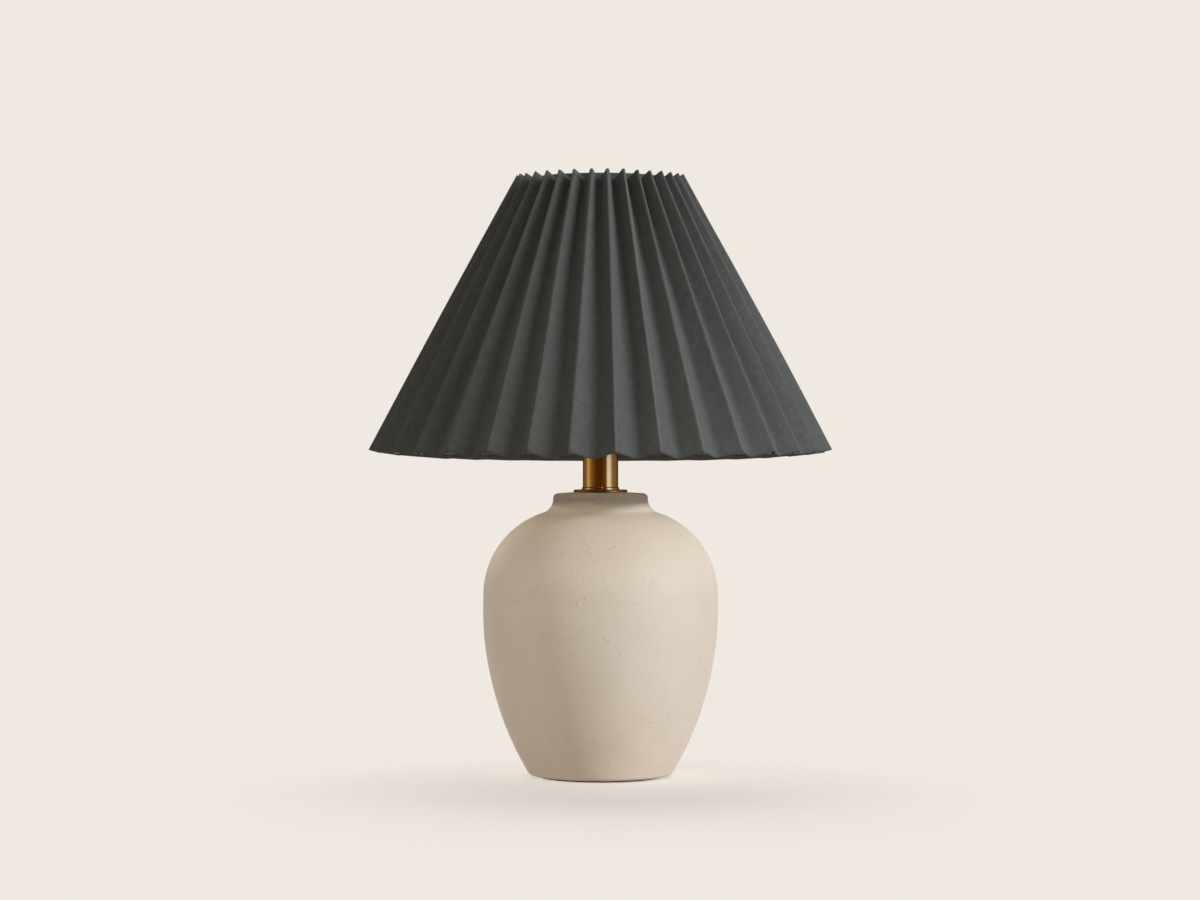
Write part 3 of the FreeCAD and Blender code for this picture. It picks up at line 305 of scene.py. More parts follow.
def rounded(first, second, radius, step):
    """The two runs with the corner between them rounded"""
    before = first[-1] - first[-2]
    after = second[1] - second[0]
    turn = math.copysign(1, before[0] * after[1] - before[1] * after[0])
    near = offset_run(first, turn * radius)
    far = offset_run(second, turn * radius)
    i, t, j, u = crossing(near, far)
    start = first[i] + t * (first[i + 1] - first[i])
    end = second[j] + u * (second[j + 1] - second[j])
    arc = arc_points(start, end, radius, turn, step)
    return np.vstack((first[:i + 1], arc)), np.vstack((arc[-1:], second[j + 1:]))


def outline(corners, step=1.2 * MM):
    """Half outline through corners (radius, height), with keys arc=(radius, side) on the way to the next one
    and round=radius at the corner itself"""
    runs = []
    for corner, following in zip(corners, corners[1:]):
        if "arc" in corner:
            runs.append(arc_points(corner["at"], following["at"], *corner["arc"], step))
        else:
            runs.append(line_points(corner["at"], following["at"], step))
    for index, corner in enumerate(corners):
        if "round" in corner:
            fine = max(corner["round"] / 8, 0.15 * MM)
            runs[index - 1], runs[index] = rounded(runs[index - 1], runs[index], corner["round"], fine)
    points = [runs[0]]
    points += [run[1:] for run in runs[1:]]
    return np.vstack(points)


def lathe(name, profile, segments, lift=0.0, wobble=None):
    """Surface turned about the upright axis; wobble(radius, angle, height) gives a change of the radius"""
    angles = math.tau * np.arange(segments) / segments
    vertices = []
    for radius, height in profile:
        for angle in angles:
            turned = radius + (wobble(radius, angle, height) if wobble else 0)
            vertices.append(polar(turned, angle, height + lift))
    return make_object(name, vertices, grid_faces(len(profile), segments))


def thicken(item, even=False):
    """Give a sheet the cloth's thickness, half of it on each side"""
    thick = item.modifiers.new("cloth_thickness", "SOLIDIFY")
    thick.thickness = CLOTH
    thick.offset = 0
    thick.use_even_offset = even


# Material helpers

# Radians of a Wave texture's phase per metre at scale 1, and the colour sockets of a Mix node
WAVE_PHASE = 20
MIX_FIRST = 6
MIX_SECOND = 7
MIX_RESULT = 2


class Graph:
    """Node tree of one new material or world"""

    def __init__(self, name, kind="Material"):
        owners = bpy.data.worlds if kind == "World" else bpy.data.materials
        self.owner = owners.new(name)
        self.owner.use_nodes = True
        self.tree = self.owner.node_tree
        self.tree.nodes.clear()
        self.output = self.tree.nodes.new("ShaderNodeOutput" + kind)

    def add(self, kind, inputs=None, **settings):
        """Node with its settings, and each input set or linked"""
        node = self.tree.nodes.new("ShaderNode" + kind)
        for key, setting in settings.items():
            setattr(node, key, setting)
        for key, source in (inputs or {}).items():
            if isinstance(source, bpy.types.NodeSocket):
                self.tree.links.new(source, node.inputs[key])
            else:
                node.inputs[key].default_value = source
        return node

    def math(self, operation, first, second=0.0):
        """Output of a Math node"""
        return self.add("Math", {0: first, 1: second}, operation=operation).outputs[0]

    def mix(self, factor, first, second):
        """Output of a colour Mix node; first is a socket or a colour"""
        first = opaque(first) if isinstance(first, tuple) else first
        inputs = {0: factor, MIX_FIRST: first, MIX_SECOND: opaque(second)}
        return self.add("Mix", inputs, data_type="RGBA").outputs[MIX_RESULT]

    def span(self, source, low, high, to_low=0.0, to_high=1.0):
        """Value mapped smoothly from one range to another"""
        return self.add("MapRange", {"Value": source, "From Min": low, "From Max": high, "To Min": to_low,
                                     "To Max": to_high}, interpolation_type="SMOOTHSTEP").outputs[0]

    def noise(self, place, scale, detail, rough, distortion=0.0):
        """Value of a Noise texture"""
        return self.add("TexNoise", {"Vector": place, "Scale": scale, "Detail": detail, "Roughness": rough,
                                     "Distortion": distortion}).outputs[0]

    def stretched(self, place, scale):
        """Coordinates scaled by axis"""
        return self.add("Mapping", {"Vector": place, "Scale": scale}).outputs[0]

    def object_place(self):
        """Place on the object, in metres"""
        return self.add("TexCoord").outputs["Object"]

    def bump(self, height, distance, strength, under=None):
        """Normal from a height"""
        inputs = {"Height": height, "Distance": distance, "Strength": strength}
        if under:
            inputs["Normal"] = under
        return self.add("Bump", inputs).outputs[0]

    def show(self, shader):
        """Link a shader to the output; gives the material or world"""
        self.tree.links.new(shader.outputs[0], self.output.inputs[0])
        return self.owner

    def finish(self, **inputs):
        """Principled shader on the output; names in inputs have _ for a space"""
        named = {key.replace("_", " "): source for key, source in inputs.items()}
        return self.show(self.add("BsdfPrincipled", named))


def opaque(colour):
    """Colour with its alpha"""
    return (*colour, 1)


def dress(item, material):
    """Give a piece or a node its material"""
    item.data.materials.clear()
    item.data.materials.append(material)


# Materials

def cloth_material():
    """Charcoal plain weave: two sets of threads, slubs, a faint mottle, and a painted highlight along each
    ridge with some pressed-crease wear
    """
    graph = Graph("charcoal_cloth")
    place = graph.add("UVMap", uv_map="cloth").outputs[0]
    warp, weft = (graph.add("TexWave", {"Vector": place, "Scale": scale, "Distortion": 1.6, "Detail": 2.0,
                                        "Detail Scale": 1.4}, bands_direction=axis).outputs[1]
                  for axis, scale in (("X", 560.0), ("Y", 520.0)))
    weave = graph.math("ADD", graph.math("MULTIPLY", warp, 0.5), graph.math("MULTIPLY", weft, 0.5))
    slub_up = graph.noise(graph.stretched(place, (900.0, 55.0, 1.0)), 1.0, 2.0, 0.6)
    slub_across = graph.noise(graph.stretched(place, (55.0, 900.0, 1.0)), 1.0, 2.0, 0.6)
    slub = graph.math("MULTIPLY", graph.math("ADD", slub_up, slub_across), 0.5)
    mottle = graph.noise(graph.object_place(), 210.0, 4.0, 0.65)
    broad = graph.noise(graph.object_place(), 26.0, 2.0, 0.5)
    tone = graph.math("ADD", graph.math("MULTIPLY", mottle, 0.55), graph.math("MULTIPLY", slub, 0.45))
    base = graph.mix(graph.span(tone, 0.36, 0.64), (0.094, 0.099, 0.091), (0.126, 0.133, 0.124))
    base = graph.mix(graph.span(broad, 0.3, 0.7, 0.0, 0.45), base, (0.104, 0.101, 0.092))
    base = graph.mix(graph.span(weave, 0.15, 0.75, 0.25, 0.0), base, (0.075, 0.076, 0.072))
    # Paler colour along each ridge fold: a painted highlight, together with some pressed-crease wear
    along = graph.add("SeparateXYZ", {0: place}).outputs[0]
    ridge_share = 0.02
    pleat = graph.math("FRACT", graph.math("ADD", graph.math("DIVIDE", along, 2 * PANEL), 0.5 - ridge_share))
    ridge_highlight = graph.span(graph.math("ABSOLUTE", graph.math("SUBTRACT", pleat, 0.5)), 0.008, 0.040, 0.34, 0.0)
    base = graph.mix(ridge_highlight, base, (0.190, 0.198, 0.188))
    height = graph.math("ADD", weave, graph.math("MULTIPLY", slub, 1.2))
    rough_skin = graph.bump(graph.noise(graph.object_place(), 330.0, 3.0, 0.6), 0.0006, 0.5)
    normal = graph.bump(height, 0.00018, 0.7, rough_skin)
    return graph.finish(Base_Color=base, Roughness=0.92, Normal=normal, Specular_IOR_Level=0.2,
                        Sheen_Weight=0.12, Sheen_Roughness=0.5, Sheen_Tint=opaque((0.62, 0.68, 0.68)))


def tape_material():
    """Dark binding tape: a ribbed narrow weave"""
    graph = Graph("binding_tape")
    place = graph.object_place()
    ribs = graph.add("TexWave", {"Vector": place, "Scale": 420.0, "Distortion": 0.6, "Detail": 1.0},
                     bands_direction="Z").outputs[1]
    mottle = graph.noise(place, 600.0, 3.0, 0.6)
    base = graph.mix(graph.span(mottle, 0.35, 0.65), (0.050, 0.053, 0.049), (0.090, 0.094, 0.088))
    normal = graph.bump(graph.math("ADD", ribs, mottle), 0.0001, 0.6)
    return graph.finish(Base_Color=base, Roughness=0.9, Normal=normal,
                        Sheen_Weight=0.25, Sheen_Roughness=0.5)


def thread_material():
    """Waxed sewing thread with its twist"""
    graph = Graph("sewing_thread")
    twist = graph.add("TexWave", {"Vector": graph.object_place(), "Scale": 900.0, "Distortion": 1.0},
                      bands_direction="DIAGONAL").outputs[1]
    base = graph.mix(twist, (0.060, 0.062, 0.058), (0.125, 0.128, 0.120))
    return graph.finish(Base_Color=base, Roughness=0.7, Normal=graph.bump(twist, 0.00005, 0.6))


def ceramic_material():
    """Matte slip over a hand-shaped body: low lumps, small raised marks, pits and specks"""
    graph = Graph("matte_ceramic")
    place = graph.object_place()
    cloud = graph.noise(place, 14.0, 4.0, 0.55)
    grain = graph.noise(place, 900.0, 3.0, 0.6)
    drift = graph.noise(graph.stretched(place, (30.0, 30.0, 60.0)), 1.0, 3.0, 0.55)
    base = graph.mix(graph.span(cloud, 0.3, 0.7), (0.770, 0.677, 0.573), (0.812, 0.722, 0.618))
    base = graph.mix(graph.span(drift, 0.35, 0.75, 0.0, 0.12), base, (0.700, 0.610, 0.490))
    base = graph.mix(graph.span(grain, 0.3, 0.7, 0.10, 0.0), base, (0.52, 0.43, 0.32))
    dots = graph.add("TexVoronoi", {"Vector": place, "Scale": 240.0, "Randomness": 1.0}, feature="F1")
    picked = graph.add("SeparateColor", {0: dots.outputs["Color"]}).outputs[0]
    chosen = graph.math("GREATER_THAN", picked, 0.93)
    dot = graph.math("MULTIPLY", graph.span(dots.outputs["Distance"], 0.06, 0.16, 1.0, 0.0), chosen)
    base = graph.mix(graph.math("MULTIPLY", dot, 0.45), base, (0.40, 0.31, 0.22))
    lumps = graph.noise(place, 34.0, 2.0, 0.5, 0.3)
    marks = graph.noise(place, 118.0, 3.5, 0.5, 0.9)
    mark = graph.span(marks, 0.645, 0.71)
    pits = graph.span(graph.noise(place, 260.0, 2.0, 0.5, 0.8), 0.27, 0.34, 1.0, 0.0)
    normal = graph.bump(lumps, 0.0030, 0.16)
    relief = graph.math("SUBTRACT", mark, graph.math("MULTIPLY", pits, 0.6))
    normal = graph.bump(relief, 0.00045, 0.6, normal)
    normal = graph.bump(grain, 0.00008, 0.4, normal)
    roughness = graph.span(cloud, 0.3, 0.7, 0.62, 0.74)
    return graph.finish(Base_Color=base, Roughness=roughness, Normal=normal, Specular_IOR_Level=0.35)


def metal_material(name, colour, shade, roughness, tarnish=0.35, grain=0.2, pitch=None):
    """Worn metal: fine turned scratches, cloudy tarnish and uneven gloss; pitch is for a screw's thread"""
    graph = Graph(name)
    place = graph.object_place()
    cloud = graph.noise(place, 120.0, 4.0, 0.6)
    scratch = graph.noise(graph.stretched(place, (40.0, 40.0, 3000.0)), 1.0, 3.0, 0.6)
    base = graph.mix(graph.span(cloud, 0.42, 0.78, 0.0, tarnish), colour, shade)
    gloss = graph.math("ADD", graph.span(cloud, 0.3, 0.8, roughness, roughness * 1.35),
                       graph.span(scratch, 0.3, 0.7, 0.0, 0.05))
    normal = graph.bump(scratch, 0.00001, grain)
    if pitch:
        turns = graph.add("TexWave", {"Vector": place, "Scale": math.tau / (WAVE_PHASE * pitch)},
                          bands_direction="Z", wave_profile="SIN").outputs[1]
        normal = graph.bump(turns, 0.3 * pitch, 0.8, normal)
    return graph.finish(Base_Color=base, Metallic=1.0, Roughness=gloss, Normal=normal)


def plastic_material(name, colour, roughness, grain=1500.0):
    """Moulded plastic with a fine grain"""
    graph = Graph(name)
    place = graph.object_place()
    cloud = graph.noise(place, 60.0, 3.0, 0.5)
    skin = graph.noise(place, grain, 2.0, 0.5)
    lighter = tuple(min(1.0, channel * 1.25 + 0.004) for channel in colour)
    base = graph.mix(graph.span(cloud, 0.3, 0.7), colour, lighter)
    gloss = graph.span(cloud, 0.3, 0.7, roughness, min(1.0, roughness * 1.25))
    return graph.finish(Base_Color=base, Roughness=gloss, Normal=graph.bump(skin, 0.00005, 0.5))


def felt_material():
    """Pressed wool felt"""
    graph = Graph("dark_felt")
    place = graph.object_place()
    fibres = graph.noise(place, 700.0, 5.0, 0.7, 1.5)
    base = graph.mix(graph.span(fibres, 0.35, 0.65), (0.045, 0.040, 0.035), (0.120, 0.108, 0.095))
    return graph.finish(Base_Color=base, Roughness=1.0, Normal=graph.bump(fibres, 0.0004, 0.9),
                        Sheen_Weight=0.4, Sheen_Roughness=0.6)


def card_material():
    """Vulcanised fibre sleeve"""
    graph = Graph("grey_card")
    place = graph.object_place()
    fibres = graph.noise(graph.stretched(place, (400.0, 400.0, 60.0)), 1.0, 4.0, 0.6)
    base = graph.mix(graph.span(fibres, 0.3, 0.7), (0.34, 0.265, 0.175), (0.48, 0.385, 0.26))
    return graph.finish(Base_Color=base, Roughness=0.85, Normal=graph.bump(fibres, 0.0001, 0.6))


def globe_material():
    """Frosted glass with a white coating inside"""
    graph = Graph("frosted_glass")
    place = graph.object_place()
    cloud = graph.noise(place, 45.0, 3.0, 0.5)
    base = graph.mix(graph.span(cloud, 0.3, 0.7), (0.87, 0.87, 0.84), (0.93, 0.93, 0.90))
    normal = graph.bump(graph.noise(place, 1800.0, 2.0, 0.5), 0.00002, 0.4)
    return graph.finish(Base_Color=base, Roughness=0.38, Normal=normal, Subsurface_Weight=0.2,
                        Subsurface_Scale=0.006, Coat_Weight=0.15)


cloth = cloth_material()
tape = tape_material()
sewing_thread = thread_material()
ceramic = ceramic_material()
felt = felt_material()
card = card_material()
frosted = globe_material()
BRASS = ((0.70, 0.49, 0.20), (0.45, 0.28, 0.09), 0.26)
ZINC = ((0.62, 0.63, 0.62), (0.42, 0.42, 0.40), 0.34)
neck_brass = metal_material("neck_brass", (0.64, 0.38, 0.115), (0.50, 0.27, 0.07), 0.10,
                            tarnish=0.25, grain=0.02)
plain_brass = metal_material("plain_brass", *BRASS)
contact_brass = metal_material("contact_brass", (0.74, 0.56, 0.28), (0.50, 0.34, 0.14), 0.3)
dark_bronze = metal_material("dark_bronze", (0.085, 0.052, 0.028), (0.030, 0.018, 0.010), 0.40)
washer_bronze = metal_material("washer_bronze", (0.34, 0.185, 0.065), (0.14, 0.075, 0.03), 0.24)
zinc = metal_material("zinc_plate", *ZINC)
rod_zinc = metal_material("threaded_zinc", *ZINC, pitch=0.94 * MM)
stud_brass = metal_material("threaded_brass", *BRASS, pitch=0.9 * MM)
nickel = metal_material("nickel_plate", (0.72, 0.70, 0.66), (0.50, 0.48, 0.44), 0.22)
frame_paint = plastic_material("frame_paint", (0.035, 0.035, 0.034), 0.38, 900.0)
black_plastic = plastic_material("black_plastic", (0.030, 0.030, 0.031), 0.36)
white_plastic = plastic_material("white_plastic", (0.80, 0.80, 0.77), 0.40)

NODE_LOOKS = (
    (black_plastic, "cord_grommet rod_bushing socket_core turn_knob bulb_insulator"),
    (zinc, "base_washer lock_washer rod_nut"),
    (rod_zinc, "lamp_rod"),
    (dark_bronze, "neck_seat"),
    (neck_brass, "neck_tube neck_base_ring neck_cap"),
    (plain_brass, "harp_saddle socket_cap socket_shell switch_shaft harp ferrule_left ferrule_right finial"),
    (card, "insulating_sleeve"),
    (contact_brass, "screw_shell centre_contact"),
    (nickel, "bulb_tip bulb_base"),
    (white_plastic, "bulb_collar"),
    (frosted, "bulb_globe"),
    (stud_brass, "harp_swivel_stud"),
    (tape, "shade_top_band"),
    (frame_paint, "shade_top_ring shade_hem_ring shade_struts spider_hub spider_arms"),
    (felt, "base_felt"),
    (ceramic, "ceramic_jar"),
    (cloth, "shade_pleats"),
)
for look, node_names in NODE_LOOKS:
    for node_name in node_names.split():
        dress(nodes[node_name], look)


# Jar: turned finely, with a slightly uneven wall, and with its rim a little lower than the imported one

def jar_outline():
    """Outside from the rod hole in the foot recess round to the rod hole in the crown"""
    flank = (BELLY_LOW ** 2 + (BELLY_RADIUS - FOOT_RADIUS) ** 2) / (2 * (BELLY_RADIUS - FOOT_RADIUS))
    drop = BELLY_RADIUS - COLLAR_RADIUS
    shoulder = ((SHOULDER_HEIGHT - BELLY_HIGH) ** 2 + drop ** 2) / (2 * drop)
    return outline([
        {"at": (ROD_HOLE, RECESS_HEIGHT + 6 * MM)},
        {"at": (ROD_HOLE, RECESS_HEIGHT)},
        {"at": (RECESS_RADIUS, RECESS_HEIGHT), "round": 1.5 * MM},
        {"at": (RECESS_RADIUS, 0), "round": 0.6 * MM},
        {"at": (FOOT_RADIUS, 0), "arc": (flank, 1), "round": 5 * MM},
        {"at": (BELLY_RADIUS, BELLY_LOW)},
        {"at": (BELLY_RADIUS, BELLY_HIGH), "arc": (shoulder, 1)},
        {"at": (COLLAR_RADIUS, SHOULDER_HEIGHT), "round": 11 * MM},
        {"at": (COLLAR_RADIUS, RIM_HEIGHT), "round": 3.5 * MM},
        {"at": (CROWN_RADIUS, CROWN_HEIGHT)},
        {"at": (ROD_HOLE, CROWN_HEIGHT)},
        {"at": (ROD_HOLE, CROWN_HEIGHT - 6 * MM)},
    ])


def thrown(radius, angle, height):
    """Radial change of a hand-made wall: broad low lumps, none at the foot and the neck"""
    if height < EVEN_MARGIN or height > RIM_HEIGHT - EVEN_MARGIN or radius < RECESS_RADIUS + 2 * MM:
        return 0.0
    fade = min(1.0, (height - EVEN_MARGIN) / LUMP_FADE, (RIM_HEIGHT - EVEN_MARGIN - height) / LUMP_FADE)
    spot = polar(1, angle, height * 14)
    return fade * (noise.noise(spot * 1.7) * LUMP * MM)


def make_jar():
    """Turned jar with the stepped bore of the cord outlet at the back of its foot"""
    jar = lathe("jar_body", jar_outline(), 256, FELT_TOP, thrown)
    length = 30 * MM
    for radius, start in ((OUTLET_RADIUS, RECESS_RADIUS - 4 * MM), (OUTLET_SEAT_RADIUS, OUTLET_SEAT)):
        middle = (0, start + length / 2, FELT_TOP + OUTLET_HEIGHT)
        bpy.ops.mesh.primitive_cylinder_add(vertices=64, radius=radius, depth=length, location=middle,
                                            rotation=(math.pi / 2, 0, 0))
        cutter = bpy.context.object
        cut = jar.modifiers.new("outlet", "BOOLEAN")
        cut.object = cutter
        cut.operation = "DIFFERENCE"
        cut.solver = "EXACT"
        bpy.context.view_layer.objects.active = jar
        bpy.ops.object.modifier_apply(modifier=cut.name)
        bpy.data.objects.remove(cutter)
    dress(jar, ceramic)
    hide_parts("ceramic_jar")
    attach(jar, "root")
    return jar


# Neck

def make_neck_ring():
    """Moulded ring round the tube's foot"""
    low = FELT_TOP + CROWN_HEIGHT + WASHER_HEIGHT
    high = low + RING_HEIGHT
    inner = TUBE_RADIUS - 0.6 * MM
    ring = lathe("neck_ring", outline([
        {"at": (inner, high)},
        {"at": (inner, low)},
        {"at": (TUBE_RADIUS + 0.75 * MM, low), "round": 0.15 * MM},
        {"at": (TUBE_RADIUS + 0.70 * MM, low + 1.75 * MM), "round": 0.2 * MM},
        {"at": (TUBE_RADIUS + 0.25 * MM, low + 1.85 * MM), "arc": (0.3 * MM, -1)},
        {"at": (TUBE_RADIUS + 0.05 * MM, high)},
        {"at": (inner, high)},
    ], 0.1 * MM), 128)
    dress(ring, neck_brass)
    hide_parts("neck_base_ring")
    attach(ring, "root")


def make_neck_washer():
    """Flat bronze disc on the crown, with a hub that centres the tube"""
    low = FELT_TOP + CROWN_HEIGHT
    high = low + WASHER_HEIGHT
    hub = TUBE_RADIUS - 0.9 * MM
    hub_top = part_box("neck_seat")[1].z
    washer = lathe("neck_washer", outline([
        {"at": (ROD_HOLE, low)},
        {"at": (WASHER_RADIUS, low), "round": 0.35 * MM},
        {"at": (WASHER_RADIUS - 0.05 * MM, high), "round": 0.35 * MM},
        {"at": (hub, high)},
        {"at": (hub, hub_top)},
        {"at": (ROD_HOLE, hub_top)},
        {"at": (ROD_HOLE, low)},
    ], 0.8 * MM), 128)
    dress(washer, washer_bronze)
    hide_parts("neck_seat")
    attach(washer, "root")


# Felt pad, socket, bulb base and finial

def wave(share):
    """Smooth wave from 0 to 1 that repeats for each whole share"""
    return 0.5 - 0.5 * math.cos(math.tau * share)


def make_felt():
    """Cut felt pad: its edge is a little ragged and pressed outward"""
    low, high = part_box("base_felt")

    def ragged(radius, angle, height):
        if radius < high.x - 3 * MM:
            return 0.0
        return (noise.noise(polar(60, angle, height * 900)) - 0.5) * 0.5 * MM

    pad = lathe("felt_pad", outline([
        {"at": (ROD_HOLE, high.z)},
        {"at": (ROD_HOLE, low.z)},
        {"at": (high.x, low.z), "round": 0.3 * MM},
        {"at": (high.x, high.z), "round": 0.5 * MM},
        {"at": (ROD_HOLE, high.z)},
    ], 0.5 * MM), 256, wobble=ragged)
    dress(pad, felt)
    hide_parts("base_felt")
    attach(pad, "root")


def make_socket_beads():
    """Two rolled beads and the lip of the socket's shell"""
    low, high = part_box("socket_shell")
    wall = high.x - 0.15 * MM
    for name, height in (("shell_bead_low", low.z + 3.4 * MM), ("shell_bead_high", high.z - 5 * MM),
                         ("shell_lip", high.z - 0.5 * MM)):
        bead = lathe(name, outline([
            {"at": (wall, height - 0.9 * MM), "arc": (1.1 * MM, 1)},
            {"at": (wall, height + 0.4 * MM)},
            {"at": (wall - 0.2 * MM, height + 0.4 * MM)},
        ], 0.2 * MM), 96)
        dress(bead, plain_brass)
        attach(bead, "root")


def make_bulb_thread():
    """Rolled screw thread of the bulb's base, which fades out towards both ends"""
    low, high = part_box("bulb_base")
    pitch = 3.6 * MM
    depth = 0.75 * MM
    tip = 1.2 * MM
    plain = 2.2 * MM

    def screw(radius, angle, height):
        if radius < high.x - 0.5 * MM:
            return 0.0
        after_tip = max(0.0, (height - low.z - tip) / pitch)
        before_plain = max(0.0, (high.z - plain - height) / pitch)
        fade = min(1.0, after_tip, before_plain)
        return -depth * fade * wave(height / pitch - angle / math.tau)

    base = lathe("bulb_thread", outline([
        {"at": (high.x - 3 * MM, low.z)},
        {"at": (high.x - tip, low.z)},
        {"at": (high.x, low.z + tip)},
        {"at": (high.x, high.z), "round": 0.3 * MM},
        {"at": (high.x - 3 * MM, high.z)},
    ], 0.3 * MM), 96, wobble=screw)
    dress(base, nickel)
    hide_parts("bulb_base")
    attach(base, "bulb")


def make_finial():
    """Turned knob with a knurled skirt"""
    low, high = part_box("finial")
    axis = 0.0001 * MM
    bore = 3.15 * MM
    bore_depth = 10.2 * MM
    skirt = 6.2 * MM
    skirt_height = 2.3 * MM
    waist = 5.5 * MM
    knurls = 36
    knurl_depth = 0.35 * MM

    def knurl(radius, angle, height):
        if abs(radius - skirt) > 0.15 * MM or height > low.z + 2.4 * MM or height < low.z + 0.2 * MM:
            return 0.0
        return -knurl_depth * wave(angle * knurls / math.tau)

    finial = lathe("turned_finial", outline([
        {"at": (axis, low.z + bore_depth)},
        {"at": (bore, low.z + bore_depth)},
        {"at": (bore, low.z)},
        {"at": (skirt, low.z), "round": 0.3 * MM},
        {"at": (skirt, low.z + skirt_height), "round": 0.3 * MM},
        {"at": (waist, low.z + skirt_height), "arc": (1.2 * MM, -1), "round": 0.2 * MM},
        {"at": (waist, low.z + 4.0 * MM), "arc": (6.7 * MM, 1), "round": 0.3 * MM},
        {"at": (1.6 * MM, high.z - 0.5 * MM), "arc": (2.4 * MM, 1)},
        {"at": (axis, high.z)},
    ], 0.25 * MM), 144, wobble=knurl)
    dress(finial, plain_brass)
    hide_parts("finial")
    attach(finial, "finial")


# Pleated shade

def wander(fold, share, what):
    """Slow irregular drift of one fold along its length, from -1 to 1"""
    seed = SEEDS[what]
    return 2 * noise.noise(Vector((fold * 1.37 + seed, share * 1.6, seed * 0.71)))


def lean(fold, share):
    """Degrees by which a fold stands off its even place: a valley stands between its two ridges"""
    if fold % 2:
        return (lean(fold - 1, share) + lean((fold + 1) % FOLDS, share)) / 2
    at_hem, at_top = LEANS.get(fold // 2, (0.0, 0.0))
    return at_hem + (at_top - at_hem) * share ** LEAN_FADE


def fold_point(fold, share):
    """Point on a sharp fold line, with the small unevenness of a hand-folded cloth"""
    ridge = fold % 2 == 0
    hem, top = (HEM_RIDGE, TOP_RIDGE) if ridge else (HEM_VALLEY, TOP_VALLEY)
    angle = FIRST_RIDGE + math.pi * fold / PLEATS + math.radians(lean(fold, share))
    behind = max(0.0, (math.sin(angle) + BACK_REACH) / (1 + BACK_REACH))
    beside = math.cos(angle) ** SIDE_FOCUS * (1 - share) ** SIDE_FADE
    longer = behind * BACK_LONGER[fold % 2] / (TOP_RIDGE[1] - HEM_RIDGE[1])
    part = share - longer * (1 - share) ** BACK_FADE
    radius = hem[0] + (top[0] - hem[0]) * part
    height = hem[1] + (top[1] - hem[1]) * part
    loose = 1 - 0.6 * share
    steady = 1 - 0.8 * behind * (1 - share)
    radius += FOLD_BELLY * math.sin(math.pi * share) + SIDE_FLARE * beside
    angle += TURN_DRIFT * wander(fold, share, "turn")
    if ridge:
        radius += RIDGE_DRIFT * loose * wander(fold, share, "ridge")
    else:
        radius += VALLEY_DRIFT * loose * (1 + wander(fold, share, "valley"))
        turned = max(0.0, math.cos(SHALLOW_FOCUS * (angle - SHALLOW_SIDE)))
        radius += SHALLOWER * share ** SHALLOW_FADE * turned
    height += SIDE_RISE[fold % 2] * beside + HEIGHT_DRIFT * steady * wander(fold, share, "height")
    return polar(radius, angle, height)


def fold_arc(before, apex, after, radius, count, crest):
    """Points that round one fold; where crest is true, they reach as far out as the sharp fold"""
    back = (before - apex).normalized()
    ahead = (after - apex).normalized()
    middle = (back + ahead).normalized()
    half = back.angle(ahead) / 2
    if crest:
        apex = apex - middle * radius * (1 / math.sin(half) - 1)
    centre = apex + middle * (radius / math.sin(half))
    reach = radius / math.tan(half)
    first = (apex + back * reach - centre).normalized()
    last = (apex + ahead * reach - centre).normalized()
    return [centre + radius * first.slerp(last, step / (count - 1)) for step in range(count)]


def rounded_fold(fold, share, count):
    """Points of the cloth's middle surface round one fold"""
    ridge = fold % 2 == 0
    bend = RIDGE_BEND if ridge else VALLEY_BEND
    radius = bend[0] + (bend[1] - bend[0]) * share
    before, apex, after = (fold_point((fold + step) % FOLDS, share) for step in (-1, 0, 1))
    return fold_arc(before, apex, after, radius, count, ridge)


def pleat_row(share, arc_count, panel_count):
    """Points of the cloth's middle surface round the shade, at one share of the fold length"""
    arcs = [rounded_fold(fold, share, arc_count) for fold in range(FOLDS)]
    points = []
    for fold in range(FOLDS):
        start = arcs[fold][-1]
        end = arcs[(fold + 1) % FOLDS][0]
        side = (end - start).cross(Vector((0, 0, 1))).normalized()
        bow = PANEL_BOW * wander(fold, share, "bow")
        points += arcs[fold]
        for step in range(1, panel_count + 1):
            part = step / (panel_count + 1)
            points.append(start.lerp(end, part) + side * bow * math.sin(math.pi * part))
    return points


def make_shade():
    """One accordion-folded strip, closed to a cone, with its place on the flat cloth as UV map"""
    rows = 64
    arc_count = 7
    panel_count = 5
    full = FOLDS * PANEL
    vertices = []
    along = []
    for row in range(rows):
        points = pleat_row(row / (rows - 1), arc_count, panel_count)
        steps = [(after - before).length for before, after in zip(points, points[1:] + points[:1])]
        reached = np.concatenate(((0.0,), np.cumsum(steps)))
        along.append(reached * full / reached[-1])
        vertices += points
    columns = len(points)
    item = make_object("pleated_shade", vertices, grid_faces(rows, columns))

    def flat_place(face, vertex):
        row, column = divmod(vertex, columns)
        if face % columns == columns - 1 and column == 0:
            column = columns
        return along[row][column], FOLD_LENGTH * row / (rows - 1)

    add_uv(item, flat_place)
    thicken(item, even=True)
    dress(item, cloth)
    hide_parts("shade_pleats")
    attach(item, "shade")
    ties = make_ties()
    make_lap()
    return item


